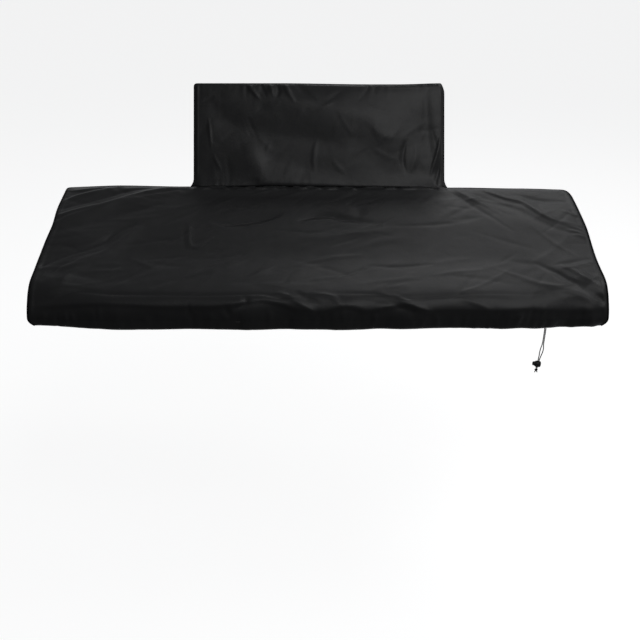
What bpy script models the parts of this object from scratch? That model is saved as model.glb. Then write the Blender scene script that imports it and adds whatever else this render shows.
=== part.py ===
"""Model of a fitted piano cover with a pocket for the raised music rest.

The cover is a long sloping top panel with a short front drop, a skirt round the
ends and the back, a flat pocket behind, bound seams, and a drawstring with a
cord lock. Sizes are in metres. X runs along the keyboard, Y from the player's
side to the back, and Z up. Shapes are worked out from the front hem, and the
origin is then put under the top, where the cover rests.
"""

import math

import bmesh
import bpy
from mathutils import Vector

# Overall sizes
LENGTH = 1.36
BACK_Y = 0.475
POCKET_HEIGHT = 0.286
POCKET_HALF = 0.3428
POCKET_BASE_HALF = 0.352
POCKET_MIDDLE_X = 0.0027
POCKET_LEAN = math.radians(23)
POCKET_DEPTH = 0.0215
POCKET_BACK_DEPTH = 0.002
POCKET_CORNER = 0.006
POCKET_FLARE_HEIGHT = 0.024
POCKET_CHAMFER = 0.008
POCKET_CHAMFER_HEIGHT = 0.024
POCKET_FOOT_HEIGHT = 0.05
POCKET_TOP_SAG = 0.003
ORIGIN = Vector((0.0, 0.240, 0.150))

# How far the left and right back corners reach along x and along y.
CORNER_REACH = {-1: (0.034, 0.034), 1: (0.047, 0.078)}

# Where the side seams are drawn in or let out, as (y, half width, inward).
SEAM_EASE = {
    -1: [(0.262, 0.050, 0.0042), (0.060, 0.060, 0.0016)],
    1: [(0.255, 0.050, -0.0022), (0.120, 0.045, 0.0018)],
}

# Cloth, seams and clearances
CLOTH = 0.0015
GAP = 0.0003
BINDING_RADIUS = 0.0017
BOUND_INSET = BINDING_RADIUS + GAP + 0.00005
SEWN_INSET = 0.0008
LAYER_OFFSET = CLOTH / 2 + GAP
HEM_TUCK = 0.013
HEM_TUCK_HEIGHT = 0.018
SKIRT_TUCK = 0.012
SKIRT_BULGE = 0.004
SKIRT_FRONT_HEM_Y = 0.0065
SKIRT_FRONT_HEM_Z = 0.0105
SKIRT_BACK_HEM_Z = 0.003
TOP_ANGLE = math.radians(18)

# Reaches over which one shape fades into the next, along x or as a share of u.
SAG_START = 0.01
SAG_REACH = 0.20
PILLOW_SHARE = 0.11
NOTCH_MARGIN = 0.010
NOTCH_LIFT = 0.006
BOUND_START = 0.344
BOUND_REACH = 0.008
CORNER_SHARE = 0.45
SIDE_SHARE = 0.06
HEM_INSET_GROWTH = 0.3
CORNER_INSET_GROWTH = 0.06

# The cover's section from the front hem over the top to the back seam, as
# (place, end_y, end_z, mid_y, mid_z, rows up to the next place). The end is at
# the side seams and the mid is half way along, where the cloth sags.
SECTION = [
    ("hem", 0.004, 0.010, 0.003, 0.000, 2),
    ("channel", 0.000, 0.026, 0.000, 0.022, 2),
    ("drop", 0.005, 0.047, 0.002, 0.044, 2),
    ("drop top", 0.016, 0.068, 0.008, 0.062, 2),
    ("shoulder", 0.029, 0.0865, 0.020, 0.0755, 2),
    ("front edge", 0.050, 0.103, 0.040, 0.085, 3),
    ("over the keys", 0.090, 0.116, 0.090, 0.101, 4),
    ("behind the keys", 0.168, 0.140, 0.168, 0.127, 4),
    ("panel front", 0.241, 0.168, 0.241, 0.153, 4),
    ("panel middle", 0.325, 0.1965, 0.325, 0.184, 4),
    ("panel back", 0.400, 0.2150, 0.400, 0.210, 2),
    ("ridge", 0.441, 0.2235, 0.441, 0.2225, 5),
    ("back seam", 0.475, 0.2185, 0.475, 0.2185, 0),
]
PANEL_BACK = 10
RIDGE = 11

# Height of the front hem along the cover, as (x, z), with its wavy right end.
FRONT_HEM = [
    (-0.680, 0.0040), (-0.645, 0.0005), (-0.600, 0.0000), (-0.540, 0.0005),
    (-0.510, 0.0015), (-0.410, 0.0000), (0.100, 0.0000), (0.150, 0.0025),
    (0.430, 0.0025), (0.475, 0.0050), (0.520, 0.0010), (0.565, 0.0000),
    (0.600, -0.0035), (0.635, -0.0010), (0.655, -0.0060), (0.680, 0.0020),
]

# How far the back edge lies above or below its section, as (x, z).
BACK_LIFT = [
    (-0.680, 0.0010), (-0.540, 0.0050), (-0.370, 0.0020), (0.000, 0.0005),
    (0.390, -0.0010), (0.550, -0.0035), (0.680, -0.0060),
]

# Folds of the top panel, seen from above, as
# (name, x1, y1, x2, y2, bow, half width, height). A trough has a height below 0.
TOP_FOLDS = [
    ("left fan upper", -0.672, 0.372, -0.500, 0.455, 0.004, 0.016, 0.0060),
    ("left fan middle", -0.676, 0.318, -0.370, 0.445, 0.008, 0.016, 0.0075),
    ("left fan lower", -0.676, 0.272, -0.360, 0.420, 0.004, 0.018, 0.0060),
    ("left fan trough", -0.672, 0.345, -0.440, 0.435, 0.006, 0.014, -0.0045),
    ("left middle", -0.665, 0.095, -0.440, 0.285, 0.012, 0.024, 0.0060),
    ("left front", -0.625, 0.040, -0.455, 0.225, 0.010, 0.034, 0.0070),
    ("left front trough", -0.672, 0.055, -0.540, 0.215, 0.000, 0.026, -0.0045),
    ("left crease", -0.340, 0.290, -0.310, 0.195, 0.000, 0.012, 0.0035),
    ("right fan inner", 0.362, 0.425, 0.470, 0.330, 0.004, 0.016, 0.0060),
    ("right fan trough", 0.362, 0.400, 0.430, 0.335, 0.000, 0.016, -0.0050),
    ("right fan outer", 0.450, 0.425, 0.660, 0.245, 0.012, 0.016, 0.0070),
    ("right fan shade", 0.440, 0.400, 0.640, 0.225, 0.010, 0.018, -0.0045),
    ("right corner lift", 0.540, 0.430, 0.640, 0.380, 0.000, 0.020, 0.0035),
    ("right side trough", 0.560, 0.100, 0.665, 0.135, 0.000, 0.016, -0.0040),
    ("centre crease left", -0.235, 0.285, -0.090, 0.325, -0.010, 0.014, -0.0040),
    ("centre crease right", -0.040, 0.300, 0.140, 0.298, 0.022, 0.014, -0.0040),
    ("centre sag", -0.500, 0.180, 0.480, 0.150, 0.000, 0.080, -0.0060),
]

# Folds round the front edge, as (name, x1, s1, x2, s2, bow, half width, height),
# where s is the distance from the hem along the cloth.
FRONT_FOLDS = [
    ("right corner trough", 0.560, 0.128, 0.676, 0.052, 0.000, 0.018, -0.0085),
    ("right corner ridge", 0.590, 0.150, 0.672, 0.085, 0.000, 0.015, 0.0040),
    ("left corner slope", -0.672, 0.064, -0.560, 0.101, 0.006, 0.014, 0.0040),
    ("front dip", -0.120, 0.114, -0.020, 0.066, 0.000, 0.014, -0.0040),
    ("front slant", 0.170, 0.110, 0.270, 0.053, 0.000, 0.012, 0.0045),
]
PLACE_SPACING = 0.022

# Soft vertical waves of the front drop, as (x, half width, depth at the hem).
DROP_WAVES = [
    (-0.480, 0.060, 0.004), (-0.300, 0.050, -0.004), (-0.165, 0.035, 0.003),
    (-0.080, 0.030, -0.003), (0.060, 0.040, 0.004), (0.204, 0.040, 0.0035),
    (0.330, 0.055, -0.004), (0.460, 0.040, 0.004), (0.590, 0.035, -0.005),
    (0.645, 0.020, 0.004),
]

# Waves of the skirt's hem, as (distance along it, half width, depth).
SKIRT_WAVES = [
    (0.14, 0.050, 0.005), (0.30, 0.060, -0.004), (0.56, 0.080, 0.006),
    (0.84, 0.070, -0.005), (1.14, 0.090, 0.006), (1.42, 0.070, -0.005),
    (1.70, 0.080, 0.005), (2.02, 0.060, -0.004), (2.20, 0.050, 0.005),
]

# Folds of the pocket's front, as
# (name, x1, height1, x2, height2, bow, half width, height of the fold).
POCKET_FOLDS = [
    ("right edge trough", 0.313, 0.200, 0.320, 0.070, 0.004, 0.010, -0.0060),
    ("right edge ridge", 0.330, 0.120, 0.330, 0.040, 0.000, 0.008, 0.0030),
    ("right crease", 0.233, 0.125, 0.236, 0.040, 0.000, 0.009, -0.0045),
    ("right crease side", 0.256, 0.105, 0.262, 0.030, 0.000, 0.012, 0.0035),
    ("left wedge", -0.182, 0.125, -0.140, 0.020, 0.006, 0.012, 0.0055),
    ("wedge branch", -0.150, 0.060, -0.020, 0.045, 0.010, 0.014, 0.0040),
    ("wedge low branch", -0.140, 0.035, 0.120, 0.008, 0.004, 0.014, 0.0035),
    ("top dimple left", -0.175, 0.275, -0.150, 0.220, 0.000, 0.012, -0.0035),
    ("top dimple right", -0.085, 0.275, -0.095, 0.225, 0.000, 0.010, -0.0030),
    ("left hollow", -0.280, 0.210, -0.220, 0.060, 0.010, 0.040, -0.0035),
    ("middle swell", 0.020, 0.240, 0.140, 0.090, 0.000, 0.070, 0.0040),
]

# Grid steps
PANEL_COLUMNS = 56
END_CROWDING = 0.07
BACK_BINDING_STEPS = 8
POCKET_BINDING_STEPS = 14
POCKET_COLUMNS = 28
POCKET_BACK_COLUMNS = 12
SKIRT_BACK_COLUMNS = 34
SKIRT_ROWS = 5
POCKET_ROWS = [
    0.0, 0.006, 0.014, 0.026, 0.045, 0.070, 0.100, 0.130,
    0.160, 0.190, 0.220, 0.247, 0.265, 0.2755, 0.2825, 1.0,
]

# The drawstring's two strands, as (z, middle x, half the distance between them).
STRAND_ROUTE = [
    (0.0027, 0.5370, 0.00145), (-0.018, 0.5363, 0.00140),
    (-0.038, 0.5352, 0.00160), (-0.050, 0.5342, 0.00340),
    (-0.060, 0.5328, 0.00340), (-0.070, 0.5310, 0.00220),
    (-0.080, 0.5291, 0.00145), (-0.0905, 0.5275, 0.00138),
    (-0.1010, 0.5259, 0.00138),
]
STRAND_Y = 0.0034
STRAND_DIAMETER = 0.0024
STRAND_STEPS = 18

# The cord lock: its turned outline as (radius, distance along its axis), from
# the push button to the far end.
LOCK_PROFILE = [
    (0.0000, 0.0125), (0.0038, 0.0125), (0.0047, 0.0120), (0.0050, 0.0110),
    (0.0050, 0.0074), (0.0043, 0.0071), (0.0043, 0.0067), (0.0060, 0.0065),
    (0.0071, 0.0058), (0.0075, 0.0042), (0.0077, 0.0000), (0.0075, -0.0042),
    (0.0069, -0.0058), (0.0057, -0.0065), (0.0000, -0.0065),
]
LOCK_CENTRE = Vector((0.5275, STRAND_Y, -0.0905))
LOCK_TILT = math.radians(8.7)
LOCK_STEPS = 24
LOCK_SLOT_HALF = 0.0031
LOCK_SLOT_WIDTH = 0.0032
LOCK_SLOT_STEPS = 8
LOCK_CUTTER_REACH = 0.012
KNOT_CENTRE = Vector((0.5251, STRAND_Y, -0.1060))
KNOT_RADIUS = 0.0042
KNOT_WRAP = 0.10
KNOT_FLATNESS = 0.8

# Colours, as the linear values of a black coated nylon and its trimmings.
CLOTH_BLACK = (0.022, 0.022, 0.024)
BINDING_BLACK = (0.012, 0.012, 0.013)
CORD_BLACK = (0.014, 0.014, 0.015)
PLASTIC_BLACK = (0.010, 0.010, 0.011)


def mix(a, b, share):
    """Value between a and b."""
    return a + (b - a) * share


def ease(share):
    """Smooth step from 0 to 1, flat at both ends."""
    share = min(max(share, 0.0), 1.0)
    return share * share * (3 - 2 * share)


def smooth_through(values, t):
    """Value at t of a smooth curve through values that lie at t = 0, 1, 2, ..."""
    last = len(values) - 1
    k = min(max(int(t), 0), last - 1)
    f = t - k
    before, here = values[max(k - 1, 0)], values[k]
    after, beyond = values[k + 1], values[min(k + 2, last)]
    slope = after - before
    bend = 2 * before - 5 * here + 4 * after - beyond
    turn = 3 * here - before - 3 * after + beyond
    return 0.5 * (2 * here + slope * f + bend * f * f + turn * f * f * f)


def from_table(table, x):
    """Value at x of a smooth curve through the table's (x, value) rows."""
    if x <= table[0][0]:
        return table[0][1]
    for (x1, value1), (x2, value2) in zip(table, table[1:]):
        if x <= x2:
            return mix(value1, value2, ease((x - x1) / (x2 - x1)))
    return table[-1][1]


def fold_height(folds, a, b):
    """Height of all the folds at the place (a, b) of their sheet."""
    total = 0.0
    for _, a1, b1, a2, b2, bow, half_width, height in folds:
        run_a, run_b = a2 - a1, b2 - b1
        length = math.hypot(run_a, run_b)
        along = ((a - a1) * run_a + (b - b1) * run_b) / length**2
        if not 0 < along < 1:
            continue
        across = ((b - b1) * run_a - (a - a1) * run_b) / length
        across -= bow * 4 * along * (1 - along)
        fade = 1 - (2 * along - 1) ** 4
        total += height * fade * math.exp(-((across / half_width) ** 2))
    return total


def wave_depth(waves, place):
    """Depth of all the soft waves at a place along a hem."""
    return sum(
        depth * math.exp(-(((place - middle) / half_width) ** 2))
        for middle, half_width, depth in waves
    )


def section_rows():
    """Values of t for the rows of the main panel, closer round the back corner."""
    rows = []
    for k, (*_, steps) in enumerate(SECTION[:-1]):
        if k == RIDGE:
            rows += [k + math.sin(math.pi / 2 * j / steps) for j in range(steps)]
        else:
            rows += [k + j / steps for j in range(steps)]
    return rows + [len(SECTION) - 1]


def section_point(t, middle):
    """(y, z) of the section at t, between the end (0) and half way along (1)."""
    columns = list(zip(*SECTION))
    end_y, end_z, mid_y, mid_z = (smooth_through(c, t) for c in columns[1:5])
    return mix(end_y, mid_y, middle), mix(end_z, mid_z, middle)


def middle_share(x):
    """How far the section at x is from the ends' shape to the sagging one."""
    return ease((LENGTH / 2 - SAG_START - abs(x)) / SAG_REACH)


def pillow(u):
    """The pocket's fullness across its width, 0 at the sides and 1 inside."""
    return ease((1 - abs(u)) / PILLOW_SHARE)


def notch(x):
    """How far the pocket's seam lies in front of the back edge."""
    half = POCKET_BASE_HALF + NOTCH_MARGIN
    return POCKET_DEPTH * pillow(min(abs(x - POCKET_MIDDLE_X) / half, 1))


def corner_turn(side, y):
    """How far a side seam has turned at y, up to a right angle at the back."""
    reach = CORNER_REACH[side][1]
    return math.asin(min(max((y - BACK_Y + reach) / reach, 0.0), 1.0))


def seam_point(side, t, inset=0.0):
    """Point of the side seam at t, or that far inside it along the cloth."""
    y, z = section_point(t, 0.0)
    reach_x, reach_y = CORNER_REACH[side]
    turn = corner_turn(side, y)
    inset *= 1 + HEM_INSET_GROWTH * ease(2 - t)
    inset *= 1 + CORNER_INSET_GROWTH * math.sin(2 * turn)
    x = LENGTH / 2 - reach_x + (reach_x - inset) * math.cos(turn)
    x -= wave_depth(SEAM_EASE[side], y)
    if turn > 0:
        y = BACK_Y - reach_y + (reach_y - inset) * math.sin(turn)
    hem = SECTION[0][2]
    x -= HEM_TUCK * max(0.0, 1 - (z - hem) / HEM_TUCK_HEIGHT) ** 2
    lift = from_table(BACK_LIFT, side * x) * (y / BACK_Y) ** 2
    return Vector((side * x, y, z + lift))


def back_inset(x):
    """How far inside the back edge the panel ends: at the pocket, or at a binding."""
    share = ease((abs(x - POCKET_MIDDLE_X) - BOUND_START) / BOUND_REACH)
    return mix(SEWN_INSET, BOUND_INSET, share)


def panel_point(u, t):
    """Point of the main panel, u from -1 at the left seam to 1 at the right."""
    left = seam_point(-1, t, BOUND_INSET)
    right = seam_point(1, t, BOUND_INSET)
    x = mix(left.x, right.x, (u + 1) / 2)
    middle = middle_share(x)
    y, z = section_point(t, middle)
    edge = mix(left.y, right.y, (u + 1) / 2) - section_point(t, 0.0)[0]
    back = min(max((t - RIDGE), 0.0), 1.0)
    if back > 0:
        sideways = ease((abs(u) - 1 + CORNER_SHARE) / CORNER_SHARE)
        edge = mix(BOUND_INSET * -back, edge, sideways)
        edge += (BOUND_INSET - back_inset(x)) * back
    pulled = notch(x) * max(0.0, (t - PANEL_BACK) / 2) ** 1.5
    z += from_table(BACK_LIFT, x) * (y / BACK_Y) ** 2
    z += NOTCH_LIFT / POCKET_DEPTH * pulled
    inner = ease((1 - abs(u)) / SIDE_SHARE)
    fade = inner * ease(RIDGE + 0.7 - t)
    lift = fade * fold_height(TOP_FOLDS, x, y) * ease(t - 4.5)
    push = fade * fold_height(FRONT_FOLDS, x, t * PLACE_SPACING)
    push += inner * ease((5 - t) / 4) * wave_depth(DROP_WAVES, x)
    z += inner * ease((3 - t) / 3) * from_table(FRONT_HEM, x)
    slope = TOP_ANGLE + (math.pi / 2 - TOP_ANGLE) * ease((5.5 - t) / 2.5)
    y += edge - pulled - math.sin(slope) * (lift + push)
    z += math.cos(slope) * (lift + push)
    return Vector((x, y, z))


def back_edge(x):
    """Point at x of the line where the main panel ends at the back."""
    pulled = notch(x)
    z = SECTION[-1][2] + from_table(BACK_LIFT, x)
    z += NOTCH_LIFT / POCKET_DEPTH * pulled
    return Vector((x, BACK_Y - pulled, z))


def pocket_half(side, height, inset):
    """Half width of the pocket at a height, with its flared foot and its corner."""
    flare = POCKET_BASE_HALF - POCKET_HALF
    half = POCKET_HALF - inset
    half += flare * max(0.0, 1 - height / POCKET_FLARE_HEIGHT) ** 2
    corner = height - (POCKET_HEIGHT - POCKET_CORNER)
    if side < 0 and corner > 0:
        reach = POCKET_CORNER - inset
        half -= reach - math.sqrt(max(reach**2 - corner**2, 0.0))
    if side > 0:
        chamfer = height - (POCKET_HEIGHT - POCKET_CHAMFER_HEIGHT)
        half -= POCKET_CHAMFER * max(0.0, chamfer / POCKET_CHAMFER_HEIGHT) ** 1.5
    return half


def pocket_plane(x, height):
    """Point of the leaning plane in which the pocket's binding lies."""
    lift = from_table(BACK_LIFT, x) * max(0.0, 1 - height / 0.2)
    sag = POCKET_TOP_SAG * ease((x + 0.1) / 0.25) * ease((0.34 - x) / 0.12)
    height -= sag * (height / POCKET_HEIGHT) ** 4
    y = BACK_Y + height * math.sin(POCKET_LEAN)
    z = SECTION[-1][2] + lift + height * math.cos(POCKET_LEAN)
    return Vector((x, y, z))


def pocket_point(u, height, forward):
    """Point of the pocket's front (forward 1) or back (forward -1)."""
    side = -1 if u < 0 else 1
    top = POCKET_HEIGHT - BOUND_INSET
    height = min(height, top)
    half = pocket_half(side, height, BOUND_INSET)
    x = POCKET_MIDDLE_X + u * half
    share = height / top
    crown = math.sqrt(max(1 - share**10, 0.0))
    if forward > 0:
        depth = POCKET_DEPTH * (1 - 0.25 * share) * crown
        depth += crown * pillow(u) * fold_height(POCKET_FOLDS, x, height)
    else:
        depth = POCKET_BACK_DEPTH * crown * ease(height / POCKET_FOOT_HEIGHT)
    outward = Vector((0, -math.cos(POCKET_LEAN), math.sin(POCKET_LEAN))) * forward
    point = pocket_plane(x, height) + outward * (LAYER_OFFSET + depth * pillow(u))
    foot = pocket_plane(x, 0) + outward * (LAYER_OFFSET + depth * pillow(u))
    along = Vector((0, math.sin(POCKET_LEAN), math.cos(POCKET_LEAN)))
    if forward > 0:
        seam = back_edge(x) + along * SEWN_INSET
    else:
        seam = Vector((x, BACK_Y, SECTION[-1][2] + from_table(BACK_LIFT, x)))
        seam += along * SEWN_INSET - Vector((0, 0, BOUND_INSET))
    return point + (seam - foot) * max(0.0, 1 - height / POCKET_FOOT_HEIGHT) ** 2


def clear_scene():
    """Remove whatever the file holds, so that the script starts from nothing."""
    for thing in list(bpy.data.objects):
        bpy.data.objects.remove(thing)
    for group in list(bpy.data.collections):
        bpy.data.collections.remove(group)


def new_collection(name):
    """A collection under the scene's own."""
    group = bpy.data.collections.new(name)
    bpy.context.scene.collection.children.link(group)
    return group


def new_material(name, colour, roughness):
    """A plain Principled BSDF material."""
    material = bpy.data.materials.new(name)
    material.use_nodes = True
    shader = material.node_tree.nodes["Principled BSDF"]
    shader.inputs["Base Color"].default_value = (*colour, 1.0)
    shader.inputs["Roughness"].default_value = roughness
    shader.inputs["Metallic"].default_value = 0.0
    return material


def add_object(group, name, data, colour, roughness):
    """An object in a collection, with a material of its own."""
    piece = bpy.data.objects.new(name, data)
    group.objects.link(piece)
    data.materials.append(new_material(name, colour, roughness))
    return piece


def add_sheet(group, name, columns, rows, place):
    """A sheet of cloth: a grid whose points place(column, row) puts where they lie."""
    grid = bmesh.new()
    bmesh.ops.create_grid(grid, x_segments=columns, y_segments=rows, size=1.0)
    for vertex in grid.verts:
        column = round((vertex.co.x + 1) / 2 * columns)
        row = round((vertex.co.y + 1) / 2 * rows)
        vertex.co = place(column, row) - ORIGIN
    mesh = bpy.data.meshes.new(name)
    grid.to_mesh(mesh)
    grid.free()
    mesh.shade_smooth()
    sheet = add_object(group, name, mesh, CLOTH_BLACK, 0.45)
    thicken = sheet.modifiers.new("cloth thickness", "SOLIDIFY")
    thicken.thickness = CLOTH
    thicken.offset = 0.0
    return sheet


def add_tube(group, name, points, radius, colour):
    """A round tube along a list of points."""
    curve = bpy.data.curves.new(name, "CURVE")
    curve.dimensions = "3D"
    curve.bevel_depth = radius
    curve.bevel_resolution = 2
    curve.use_fill_caps = True
    spline = curve.splines.new("POLY")
    spline.points.add(len(points) - 1)
    for knot, point in zip(spline.points, points):
        knot.co = (*(point - ORIGIN), 1.0)
    return add_object(group, name, curve, colour, 0.7)


def add_main_panel(group):
    """The top and the front drop, in one piece."""
    rows = section_rows()

    def place(column, row):
        share = 2 * column / PANEL_COLUMNS - 1
        u = share + END_CROWDING * math.sin(math.pi * share)
        return panel_point(u, rows[row])

    return add_sheet(group, "main_panel", PANEL_COLUMNS, len(rows) - 1, place)


def skirt_path():
    """The skirt's columns as (top point, outward direction, hem point's y)."""
    rows = [t for t in section_rows() if t >= 1]
    ends = {}
    for side in (-1, 1):
        columns = []
        for t in rows:
            seam = seam_point(side, t)
            y, z = section_point(t, 0.0)
            ahead = section_point(min(t + 0.05, len(SECTION) - 1), 0.0)
            behind = section_point(max(t - 0.05, 0), 0.0)
            run_y, run_z = ahead[0] - behind[0], ahead[1] - behind[1]
            length = math.hypot(run_y, run_z)
            inward = Vector((0, run_z / length, -run_y / length))
            turn = corner_turn(side, y)
            if turn > 0:
                inward = Vector((0, 0, -1))
            reach_x, reach_y = CORNER_REACH[side]
            outward = Vector((side * math.cos(turn) * reach_y, math.sin(turn) * reach_x, 0))
            outward.normalize()
            columns.append((seam + inward * BOUND_INSET, outward))
        ends[side] = columns
    left, right = ends[-1], ends[1]
    first, last = left[-1][0].x, right[-1][0].x
    back = []
    for k in range(1, SKIRT_BACK_COLUMNS):
        x = mix(first, last, k / SKIRT_BACK_COLUMNS)
        z = SECTION[-1][2] + from_table(BACK_LIFT, x) - BOUND_INSET
        back.append((Vector((x, BACK_Y, z)), Vector((0, 1, 0))))
    return left + back + right[::-1]


def add_skirt(group):
    """The strip round the left end, the back and the right end."""
    path = skirt_path()
    distance = [0.0]
    for (here, _), (after, _) in zip(path, path[1:]):
        distance.append(distance[-1] + (after - here).to_2d().length)

    def place(column, row):
        top, outward = path[column]
        share = row / SKIRT_ROWS
        hem_y = max(top.y, SKIRT_FRONT_HEM_Y)
        hem_z = mix(SKIRT_FRONT_HEM_Z, SKIRT_BACK_HEM_Z, ease(top.y / 0.10))
        wave = wave_depth(SKIRT_WAVES, distance[column]) * ease(top.y / 0.05)
        reach = SKIRT_BULGE * math.sin(math.pi * share) * ease((top.z - 0.02) / 0.08)
        reach += share**2 * (wave - SKIRT_TUCK)
        point = Vector((top.x, mix(top.y, hem_y, share), mix(top.z, hem_z, share)))
        return point + outward * reach

    return add_sheet(group, "skirt", len(path) - 1, SKIRT_ROWS, place)


def add_pocket(group):
    """The two panels of the pocket for the music rest."""
    for name, columns, forward in (
        ("pocket_front", POCKET_COLUMNS, 1),
        ("pocket_back", POCKET_BACK_COLUMNS, -1),
    ):

        def place(column, row):
            u = math.sin(math.pi / 2 * (2 * column / columns - 1))
            return pocket_point(u, POCKET_ROWS[row], forward)

        add_sheet(group, name, columns, len(POCKET_ROWS) - 1, place)


def add_bindings(group):
    """The bound seams: one along each side and round each back corner."""
    for side, name in ((-1, "binding_left"), (1, "binding_right")):
        points = [seam_point(side, t) for t in section_rows()]
        corner = points[-1]
        stop = POCKET_MIDDLE_X + side * (POCKET_BASE_HALF + BINDING_RADIUS + GAP)
        for k in range(1, BACK_BINDING_STEPS + 1):
            x = mix(corner.x, stop, k / BACK_BINDING_STEPS)
            z = SECTION[-1][2] + from_table(BACK_LIFT, x)
            points.append(Vector((x, BACK_Y, z)))
        add_tube(group, name, points, BINDING_RADIUS, BINDING_BLACK)


def add_pocket_binding(group):
    """The binding up the pocket's left side, along its top and down its right."""
    heights = [h for h in POCKET_ROWS if h < POCKET_HEIGHT - POCKET_CORNER]
    for k in range(4):
        rise = math.sin(math.pi / 2 * k / 3)
        heights.append(POCKET_HEIGHT - POCKET_CORNER * (1 - rise))
    points = []
    for height in heights:
        x = POCKET_MIDDLE_X - pocket_half(-1, height, 0.0)
        points.append(pocket_plane(x, height))
    heights = [h for h in POCKET_ROWS if h < POCKET_HEIGHT - POCKET_CORNER / 2]
    heights.append(POCKET_HEIGHT)
    side = [(POCKET_MIDDLE_X + pocket_half(1, h, 0.0), h) for h in heights]
    start, stop = points[-1].x, side[-1][0]
    for k in range(1, POCKET_BINDING_STEPS):
        x = mix(start, stop, k / POCKET_BINDING_STEPS)
        points.append(pocket_plane(x, POCKET_HEIGHT))
    points += [pocket_plane(x, height) for x, height in side[::-1]]
    add_tube(group, "pocket_binding", points, BINDING_RADIUS, BINDING_BLACK)


def strand_points(side):
    """The route of one strand, side -1 for the left one and 1 for the right."""
    columns = list(zip(*STRAND_ROUTE))
    last = len(STRAND_ROUTE) - 1
    points = []
    for k in range(STRAND_STEPS + 1):
        z, x, half = (smooth_through(c, last * k / STRAND_STEPS) for c in columns)
        points.append(Vector((x + side * half, STRAND_Y, z)))
    return points


def add_drawstring(group):
    """The two strands that leave the hem and pass through the cord lock."""
    for side, name in ((-1, "drawstring_left"), (1, "drawstring_right")):
        add_tube(group, name, strand_points(side), STRAND_DIAMETER / 2, CORD_BLACK)


def slot_outline():
    """The slot's outline, two straight sides with round ends, as (x, y)."""
    radius = LOCK_SLOT_WIDTH / 2
    points = []
    for end in (1, -1):
        for k in range(LOCK_SLOT_STEPS + 1):
            angle = math.pi * k / LOCK_SLOT_STEPS - math.pi / 2
            x = end * (LOCK_SLOT_HALF - radius + radius * math.cos(angle))
            points.append((x, end * radius * math.sin(angle)))
    return points


def add_slot_cutter(cutters):
    """The hidden solid that cuts the slot through the cord lock."""
    curve = bpy.data.curves.new("slot_cutter", "CURVE")
    curve.dimensions = "2D"
    curve.fill_mode = "BOTH"
    curve.extrude = LOCK_CUTTER_REACH
    spline = curve.splines.new("POLY")
    spline.use_cyclic_u = True
    outline = slot_outline()
    spline.points.add(len(outline) - 1)
    for knot, (x, y) in zip(spline.points, outline):
        knot.co = (x, y, 0, 1)
    guide = bpy.data.objects.new("slot_guide", curve)
    cutters.objects.link(guide)
    bpy.context.view_layer.update()
    graph = bpy.context.evaluated_depsgraph_get()
    mesh = bpy.data.meshes.new_from_object(guide.evaluated_get(graph))
    bpy.data.objects.remove(guide)
    weld = bmesh.new()
    weld.from_mesh(mesh)
    bmesh.ops.remove_doubles(weld, verts=weld.verts, dist=0.000001)
    bmesh.ops.recalc_face_normals(weld, faces=weld.faces)
    weld.to_mesh(mesh)
    weld.free()
    cutter = bpy.data.objects.new("slot_cutter", mesh)
    cutters.objects.link(cutter)
    cutter.location = LOCK_CENTRE - ORIGIN
    cutter.rotation_euler = (0, LOCK_TILT, 0)
    cutter.hide_render = True
    cutter.display_type = "WIRE"
    return cutter


def add_cord_lock(group, cutters):
    """The turned barrel of the cord lock, with a slot for the two strands."""
    outline = bmesh.new()
    ring = [outline.verts.new((radius, 0, along)) for radius, along in LOCK_PROFILE]
    for here, after in zip(ring, ring[1:]):
        outline.edges.new((here, after))
    mesh = bpy.data.meshes.new("cord_lock")
    outline.to_mesh(mesh)
    outline.free()
    lock = add_object(group, "cord_lock", mesh, PLASTIC_BLACK, 0.35)
    turned = lock.modifiers.new("turned", "SCREW")
    turned.steps = turned.render_steps = LOCK_STEPS
    turned.use_merge_vertices = True
    turned.merge_threshold = 0.00001
    lock.location = LOCK_CENTRE - ORIGIN
    lock.rotation_euler = (0, LOCK_TILT - math.pi / 2, 0)
    slot = lock.modifiers.new("strand slot", "BOOLEAN")
    slot.operation = "DIFFERENCE"
    slot.object = add_slot_cutter(cutters)


def add_knot(group):
    """The knot that joins the two strands' ends below the lock."""
    ball = bmesh.new()
    bmesh.ops.create_uvsphere(ball, u_segments=18, v_segments=10, radius=1.0)
    for vertex in ball.verts:
        turn = math.atan2(vertex.co.y, vertex.co.x)
        tilt = math.acos(min(max(vertex.co.z, -1), 1))
        wrap = 1 + KNOT_WRAP * math.sin(tilt) * math.cos(2 * turn + 5 * tilt)
        vertex.co *= KNOT_RADIUS * wrap
        vertex.co.y *= KNOT_FLATNESS
    mesh = bpy.data.meshes.new("drawstring_knot")
    ball.to_mesh(mesh)
    ball.free()
    mesh.shade_smooth()
    knot = add_object(group, "drawstring_knot", mesh, CORD_BLACK, 0.7)
    knot.location = KNOT_CENTRE - ORIGIN


def main():
    """Build every piece of the cover."""
    clear_scene()
    group = new_collection("piano_cover")
    cutters = new_collection("cutters")
    add_main_panel(group)
    add_skirt(group)
    add_pocket(group)
    add_bindings(group)
    add_pocket_binding(group)
    add_drawstring(group)
    add_cord_lock(group, cutters)
    add_knot(group)


main()
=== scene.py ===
"""Looks of a fitted piano cover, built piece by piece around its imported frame.

The cover is a long sloping top with a short front drop, a skirt round the ends
and the back, a flat pocket behind, bound seams, stitching, and a drawstring
with a cord lock. Every operator builds one piece or one group of like pieces.
Shapes are worked out from the front hem, in metres, and then moved by ORIGIN.
"""

import math
import random

import bmesh
import bpy
import numpy
from bpy.props import FloatProperty, FloatVectorProperty, PointerProperty
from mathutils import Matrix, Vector, noise


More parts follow.
